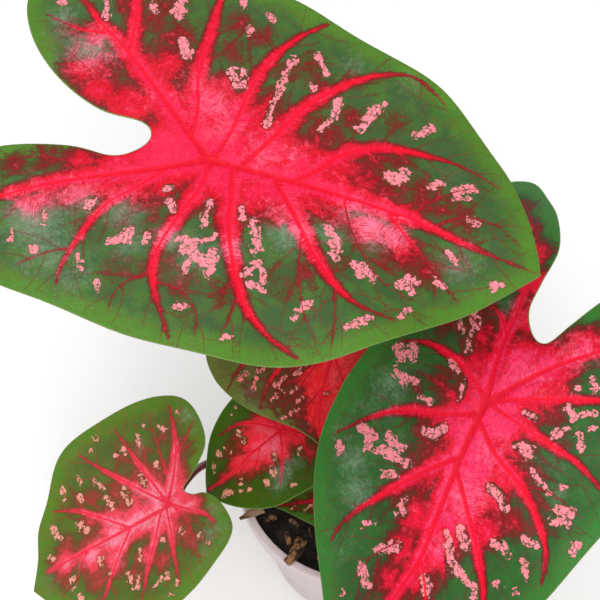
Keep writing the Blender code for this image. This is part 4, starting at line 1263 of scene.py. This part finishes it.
def make_pot():
    top = POT_HEIGHT
    skirt = top - LIP_DEPTH
    inner_skirt = LIP_RADIUS - POT_WALL
    foot = FOOT_RADIUS - FOOT_ROUND
    profile = [(0, FOOT_RISE), (foot - 6 * MM, FOOT_RISE), (foot - 5.2 * MM, 0), (foot - 1 * MM, 0)]
    profile += arc((foot, FOOT_ROUND), FOOT_ROUND, -90, -8, 8)
    profile += [(wall_radius(z * MM), z * MM) for z in range(6, 78, 4)]
    profile += [(wall_radius(skirt), skirt), (wall_radius(top) + 0.1 * MM, top - POT_WALL)]
    profile += [(inner_skirt - 0.4 * MM, top - POT_WALL), (inner_skirt - 0.5 * MM, skirt + 0.5 * MM)]
    profile += arc((inner_skirt + 0.15 * MM, skirt + SKIRT_ROUND), SKIRT_ROUND, 180, 360, 6)
    profile += [(LIP_RADIUS - 0.3 * MM, skirt + 2.4 * MM), (LIP_RADIUS - 0.05 * MM, skirt + 2.9 * MM)]
    profile += arc((LIP_RADIUS - LIP_ROUND, top - LIP_ROUND), LIP_ROUND, 0, 90, 8)
    profile += arc((MOUTH_RADIUS + LIP_ROUND, top - LIP_ROUND), LIP_ROUND, 90, 180, 8)
    profile += [(wall_radius(z * MM) - POT_WALL, z * MM) for z in range(78, 4, -6)]
    profile += [(wall_radius(POT_FLOOR) - POT_WALL - MM, POT_FLOOR), (0, POT_FLOOR)]
    bm = spun(profile, POT_SIDES)
    return finished("nursery_pot", bm, pot_material(), ["pot"])


def pot_material():
    made, w, shader = new_material("pot_plastic")
    spot = w.node("TexCoord").outputs["Object"]
    grain = w.noise(spot, 900.0, 3.0)
    smear = w.noise(spot, 40.0, 3.0, 0.6)
    height = w.split(spot)[2]
    colour = w.mix(smear, linear((212, 191, 195)), linear((226, 209, 211)))
    specks = w.smooth(w.noise(spot, 220.0, 4.0, 0.7), 0.6, 0.75)
    splashed = w.times(specks, w.smooth(height, 0.07, 0.09))
    colour = w.mix(w.times(splashed, 0.4), colour, linear((150, 120, 108)))
    soiled = w.smooth(w.plus(height, smear, 0.004), 0.086, 0.083)
    colour = w.mix(w.times(soiled, 0.1), colour, linear((120, 100, 92)))
    w.feed(shader.inputs["Base Color"], colour)
    w.feed(shader.inputs["Roughness"], w.plus(0.3, smear, 0.25))
    bumped(w, shader, grain, 0.03 * MM)
    return made


def fine_soil_height(x, y):
    """The soil's height with the scene's own fine roughness."""
    rough = noise.fractal(Vector((x, y, 0)) * SOIL_ROUGH_SCALE, 0.9, 2.2, 4)
    return soil_height(x, y) + rough * SOIL_ROUGHNESS


def make_soil(material):
    wall = wall_radius(SOIL_TOP) - POT_WALL - CLEARANCE
    foot = wall_radius(POT_FLOOR) - POT_WALL - CLEARANCE - FLOOR_GAP
    profile = [(0, POT_FLOOR + FLOOR_GAP), (foot, POT_FLOOR + FLOOR_GAP)]
    for k in range(1, SOIL_STEPS + 1):
        share = k / SOIL_STEPS
        profile.append((foot + (wall - foot) * share, POT_FLOOR + (SOIL_TOP - POT_FLOOR) * share))
    profile += [(wall * (SOIL_RINGS - k) / (SOIL_RINGS + 0.5), SOIL_TOP) for k in range(SOIL_RINGS)]
    profile += [(0, SOIL_TOP)]
    bm = spun(profile, SOIL_SIDES)
    for vert in bm.verts:
        if vert.co.z > SOIL_TOP - 0.5 * MM:
            vert.co.z = fine_soil_height(vert.co.x, vert.co.y)
    return finished("potting_soil", bm, material, ["soil"])


def scattered(rng, reach):
    """A place in the pot's mouth, evenly spread."""
    turn = rng.uniform(0, math.tau)
    out = reach * math.sqrt(rng.random())
    return out * math.cos(turn), out * math.sin(turn)


def make_crumbs(material):
    rng = random.Random("crumbs")
    bm = bmesh.new()
    for _ in range(CRUMBS):
        x, y = scattered(rng, CRUMB_REACH)
        size = MM * (CRUMB_LEAST + CRUMB_SPREAD * rng.random() ** 3)
        spot = Vector((x, y, fine_soil_height(x, y) + CRUMB_RISE * size))
        turn = Matrix.Rotation(rng.uniform(0, math.tau), 4, Vector((rng.random(), rng.random(), 0.3)))
        squash = Matrix.Diagonal((rng.uniform(0.8, 1.6), rng.uniform(0.7, 1.1), rng.uniform(0.5, 0.9), 1))
        place = Matrix.Translation(spot) @ turn @ squash @ Matrix.Scale(size, 4)
        made = bmesh.ops.create_icosphere(bm, subdivisions=1, radius=1, matrix=place)["verts"]
        for vert in made:
            vert.co = spot + (vert.co - spot) * rng.uniform(0.75, 1.25)
    return finished("soil_crumbs", bm, material)


def bark_sizes(rng):
    """Place, size and turn of every chip, the one on the lip first."""
    chips = [LIP_CHIP_MM, *CHIPS_MM]
    for _ in range(SMALL_BARK):
        x, y = scattered(rng, SMALL_BARK_REACH_MM)
        length = rng.uniform(2, 5)
        width, height = length * rng.uniform(0.3, 0.6), length * rng.uniform(0.2, 0.4)
        chips.append((x, y, length, width, height, rng.uniform(0, 180)))
    return chips


def make_bark(material):
    """Chips of bark: split blocks with torn ends and grain along them."""
    rng = random.Random("bark")
    bm = bmesh.new()
    layer = bm.verts.layers.float_vector.new("grain")
    for number, (*sizes, turn) in enumerate(bark_sizes(rng)):
        x, y, length, width, height = (size * MM for size in sizes)
        on_soil = soil_height(x, y) + BARK_RISE * height
        on_lip = POT_HEIGHT + LIP_CHIP_RISE * height
        spot = Vector((x, y, on_soil if number else on_lip))
        made = bmesh.ops.create_cube(bm, size=1)["verts"]
        edges = {edge for vert in made for edge in vert.link_edges}
        made = bmesh.ops.subdivide_edges(bm, edges=list(edges), cuts=BARK_CUTS, use_grid_fill=True)["geom"]
        verts = {item for item in made if isinstance(item, bmesh.types.BMVert)}
        verts |= {vert for edge in edges if edge.is_valid for vert in edge.verts}
        place = Matrix.Translation(spot) @ Matrix.Rotation(math.radians(turn), 4, "Z")
        place = place @ Matrix.Rotation(math.radians(rng.uniform(-BARK_TILT, BARK_TILT)), 4, "Y")
        for vert in verts:
            co = vert.co.copy()
            round_off = 1 - BARK_ROUND * (co.y * co.y + co.z * co.z)
            torn = noise.noise(Vector((co.y * 7, co.z * 7, number))) * BARK_TORN
            furrowed = noise.noise(Vector((co.x * 1.5, co.y * 9, co.z * 9 + number * 3)))
            furrow = 1 + furrowed * BARK_FURROW
            co.x = co.x * (1 - 0.25 * co.y * co.y) + torn * (1 if co.x > 0 else -1)
            co.y = co.y * round_off * furrow
            co.z = co.z * round_off * furrow * (0.8 - 0.3 * co.x)
            vert[layer] = (co.x * length / MM, co.y * width / MM + 20 * number, co.z * height / MM)
            vert.co = place @ Vector((co.x * length, co.y * width, co.z * height))
    bmesh.ops.recalc_face_normals(bm, faces=bm.faces)
    return finished("bark_chips", bm, material)


def soil_material():
    made, w, shader = new_material("potting_mix")
    spot = w.node("TexCoord").outputs["Object"]
    lump = w.noise(spot, 420.0, 4.0, 0.65)
    broad = w.noise(spot, 90.0, 3.0)
    colour = w.mix(w.smooth(lump, 0.35, 0.75), linear((4, 3, 3)), linear((40, 27, 20)))
    colour = w.mix(w.times(w.smooth(broad, 0.5, 0.75), 0.45), colour, linear((74, 50, 34)))
    w.feed(shader.inputs["Base Color"], colour)
    w.feed(shader.inputs["Roughness"], w.plus(0.65, lump, 0.3))
    bumped(w, shader, w.noise(spot, 1400.0, 4.0, 0.7), 0.35 * MM)
    return made


def bark_material():
    made, w, shader = new_material("bark_wood")
    place = w.node("Mapping")
    w.feed(place.inputs["Vector"], w.attribute("grain"))
    place.inputs["Scale"].default_value = (0.25, 1.6, 1.6)
    fibre = w.noise(place.outputs["Vector"], 1.3, 4.0, 0.65)
    stain = w.noise(w.attribute("grain"), 0.35, 2.0)
    colour = w.mix(w.smooth(fibre, 0.3, 0.7), linear((96, 58, 34)), linear((200, 146, 96)))
    colour = w.mix(w.smooth(stain, 0.42, 0.62), colour, linear((44, 30, 24)))
    w.feed(shader.inputs["Base Color"], colour)
    shader.inputs["Roughness"].default_value = 0.8
    bumped(w, shader, fibre, 0.4 * MM)
    return made


def make_root_hairs(material):
    """Thin dry roots that lie on the soil."""
    rng = random.Random("roots")
    curve = bpy.data.curves.new("root_hairs", "CURVE")
    curve.dimensions = "3D"
    curve.bevel_depth = ROOT_RADIUS
    curve.bevel_resolution = 1
    curve.use_fill_caps = True
    for _ in range(ROOT_HAIRS):
        x, y = scattered(rng, ROOT_REACH)
        turn = rng.uniform(0, math.tau)
        spline = curve.splines.new("POLY")
        count = rng.randint(8, 16)
        spline.points.add(count - 1)
        for k in range(count):
            lift = ROOT_ARCH * math.sin(math.pi * k / (count - 1)) + ROOT_LIFT
            spline.points[k].co = (x, y, fine_soil_height(x, y) + lift, 1)
            spline.points[k].radius = 1 - ROOT_TAPER * k / count
            turn += rng.uniform(-ROOT_BEND, ROOT_BEND)
            x += ROOT_STEP * math.cos(turn)
            y += ROOT_STEP * math.sin(turn)
    hairs = placed("root_hairs", curve)
    drawn = hairs.evaluated_get(bpy.context.evaluated_depsgraph_get())
    mesh = bpy.data.meshes.new_from_object(drawn)
    bpy.data.objects.remove(hairs, do_unlink=True)
    bm = bmesh.new()
    bm.from_mesh(mesh)
    bmesh.ops.remove_doubles(bm, verts=bm.verts, dist=0.005 * MM)
    return finished("root_hairs", bm, material)


def root_material():
    made, w, shader = new_material("dry_root")
    spot = w.node("TexCoord").outputs["Object"]
    colour = w.mix(w.noise(spot, 300.0), linear((92, 66, 46)), linear((150, 118, 84)))
    w.feed(shader.inputs["Base Color"], colour)
    shader.inputs["Roughness"].default_value = 0.75
    bumped(w, shader, w.noise(spot, 2500.0), 0.06 * MM)
    return made


def make_tuber():
    """The buried corm, with the rings where old leaves grew and a knobbly skin."""
    middle = (TUBER_LOW + TUBER_HIGH) / 2
    half = (TUBER_HIGH - TUBER_LOW) / 2
    crown = CROWN_RADIUS / TUBER_RADIUS
    outline = [(0, -1), (0.45, -0.94), (0.8, -0.6), (1, -0.05), (0.95, 0.5), (crown, 1)]
    profile = []
    for point in smooth_run(outline, TUBER_STEPS):
        height = max(-1, min(1, point.y))
        profile.append((max(0, point.x) * TUBER_RADIUS, middle + height * half))
    profile.append((0, TUBER_HIGH))
    bm = spun(profile, TUBER_SIDES)
    for vert in bm.verts:
        height = (vert.co.z - TUBER_LOW) / (TUBER_HIGH - TUBER_LOW)
        if 0.02 < height < 0.97:
            ring = TUBER_RING_DEPTH * math.sin(TUBER_RINGING * height)
            knob = TUBER_KNOB * noise.noise(vert.co * TUBER_KNOB_SCALE) - TUBER_TRIM
            out = Vector((vert.co.x, vert.co.y, 0)).normalized()
            vert.co += out * (ring + knob)
    return finished("tuber_corm", bm, tuber_material(), ["tuber"])


def tuber_material():
    made, w, shader = new_material("tuber_skin")
    spot = w.node("TexCoord").outputs["Object"]
    scales = w.noise(spot, 500.0, 4.0, 0.7)
    w.feed(shader.inputs["Base Color"], w.mix(scales, linear((84, 52, 32)), linear((170, 122, 82))))
    shader.inputs["Roughness"].default_value = 0.85
    bumped(w, shader, scales, 0.3 * MM)
    return made


def make_sheath():
    """A dry curled scrap that bends over the flat of the lip."""
    bm = bmesh.new()
    across, up = SHEATH_CELLS
    bmesh.ops.create_grid(bm, x_segments=across, y_segments=up, size=0.5)
    layer = bm.verts.layers.float_vector.new("grain")
    for vert in bm.verts:
        x, y = vert.co.x, vert.co.y
        torn = 0.66 + 0.72 * x + 0.1 * noise.noise(Vector((x * 14, y, 3)))
        curl = 0.5 * math.cos(3 * y) + 1.4 * x * x + 0.4 * math.sin(7 * x + 5 * y)
        pleat = 0.06 * math.sin(46 * y + 3 * x)
        vert[layer] = (x * SHEATH_LENGTH / MM, y * SHEATH_WIDTH / MM, 0)
        vert.co = Vector((x * SHEATH_LENGTH, y * torn * SHEATH_WIDTH, (curl + pleat) * MM))
    lowest = min(vert.co.z for vert in bm.verts)
    bmesh.ops.solidify(bm, geom=bm.faces, thickness=SHEATH_THICKNESS)
    bmesh.ops.recalc_face_normals(bm, faces=bm.faces)
    ground = POT_HEIGHT + SHEATH_LIFT - lowest
    place = Matrix.Translation((*SHEATH_AT, ground)) @ Matrix.Rotation(SHEATH_TURN, 4, "Z")
    bmesh.ops.transform(bm, matrix=place, verts=bm.verts)
    return finished("dry_sheath_scrap", bm, sheath_material(), ["dry_sheath"])


def sheath_material():
    made, w, shader = new_material("papery_sheath")
    along, across, _ = w.split(w.attribute("grain"))
    fibre = w.noise(w.join(w.times(along, 0.3), w.times(across, 4.0)), 1.0, 3.0, 0.6)
    dry = w.smooth(along, -5.0, 1.0)
    pale = w.mix(dry, linear((120, 84, 54)), linear((196, 158, 120)))
    w.feed(shader.inputs["Base Color"], w.mix(fibre, linear((88, 58, 38)), pale))
    shader.inputs["Roughness"].default_value = 0.6
    bumped(w, shader, fibre, 0.12 * MM)
    return made


def floor_material():
    made, _, shader = new_material("pale_floor")
    shader.inputs["Base Color"].default_value = (1, 1, 1, 1)
    shader.inputs["Roughness"].default_value = 0.9
    return made


def make_stage():
    """A plain pale floor, soft lights from above and in front, and the camera."""
    bm = bmesh.new()
    bmesh.ops.create_grid(bm, x_segments=1, y_segments=1, size=FLOOR_SIZE)
    placed("floor", mesh_of("floor", bm, floor_material()))

    scene = bpy.context.scene
    scene.world = bpy.data.worlds.new("studio")
    scene.world.use_nodes = True
    sky = scene.world.node_tree.nodes["Background"]
    sky.inputs["Color"].default_value = (1, 1, 1, 1)
    sky.inputs["Strength"].default_value = SKY_STRENGTH

    for name, place, power in LIGHTS:
        data = bpy.data.lights.new(name, "AREA")
        data.energy = power
        data.size = LIGHT_SIZE
        light = placed(name, data)
        light.location = place
        aim = Vector(LIGHT_AIM) - Vector(place)
        light.rotation_euler = aim.to_track_quat("-Z", "Y").to_euler()

    data = bpy.data.cameras.new("camera")
    data.sensor_width = SENSOR_WIDTH
    data.lens = SENSOR_WIDTH / 2 / math.tan(CAMERA_FIELD / 2)
    camera = placed("camera", data)
    camera.location = CAMERA_PLACE
    camera.rotation_euler = (math.pi / 2 - CAMERA_DROP, 0, 0)
    scene.camera = camera
    scene.view_settings.view_transform = "Standard"


def main():
    make_stage()
    make_pot()
    soil = soil_material()
    make_soil(soil)
    make_crumbs(soil)
    make_bark(bark_material())
    make_root_hairs(root_material())
    make_tuber()
    make_sheath()
    skin = leaf_skin_group()
    stalks = stalk_material()
    for letter, leaf in LEAVES.items():
        make_blade(letter, leaf, leaf_material(letter, skin))
        make_stalk(letter, leaf, stalks)


main()
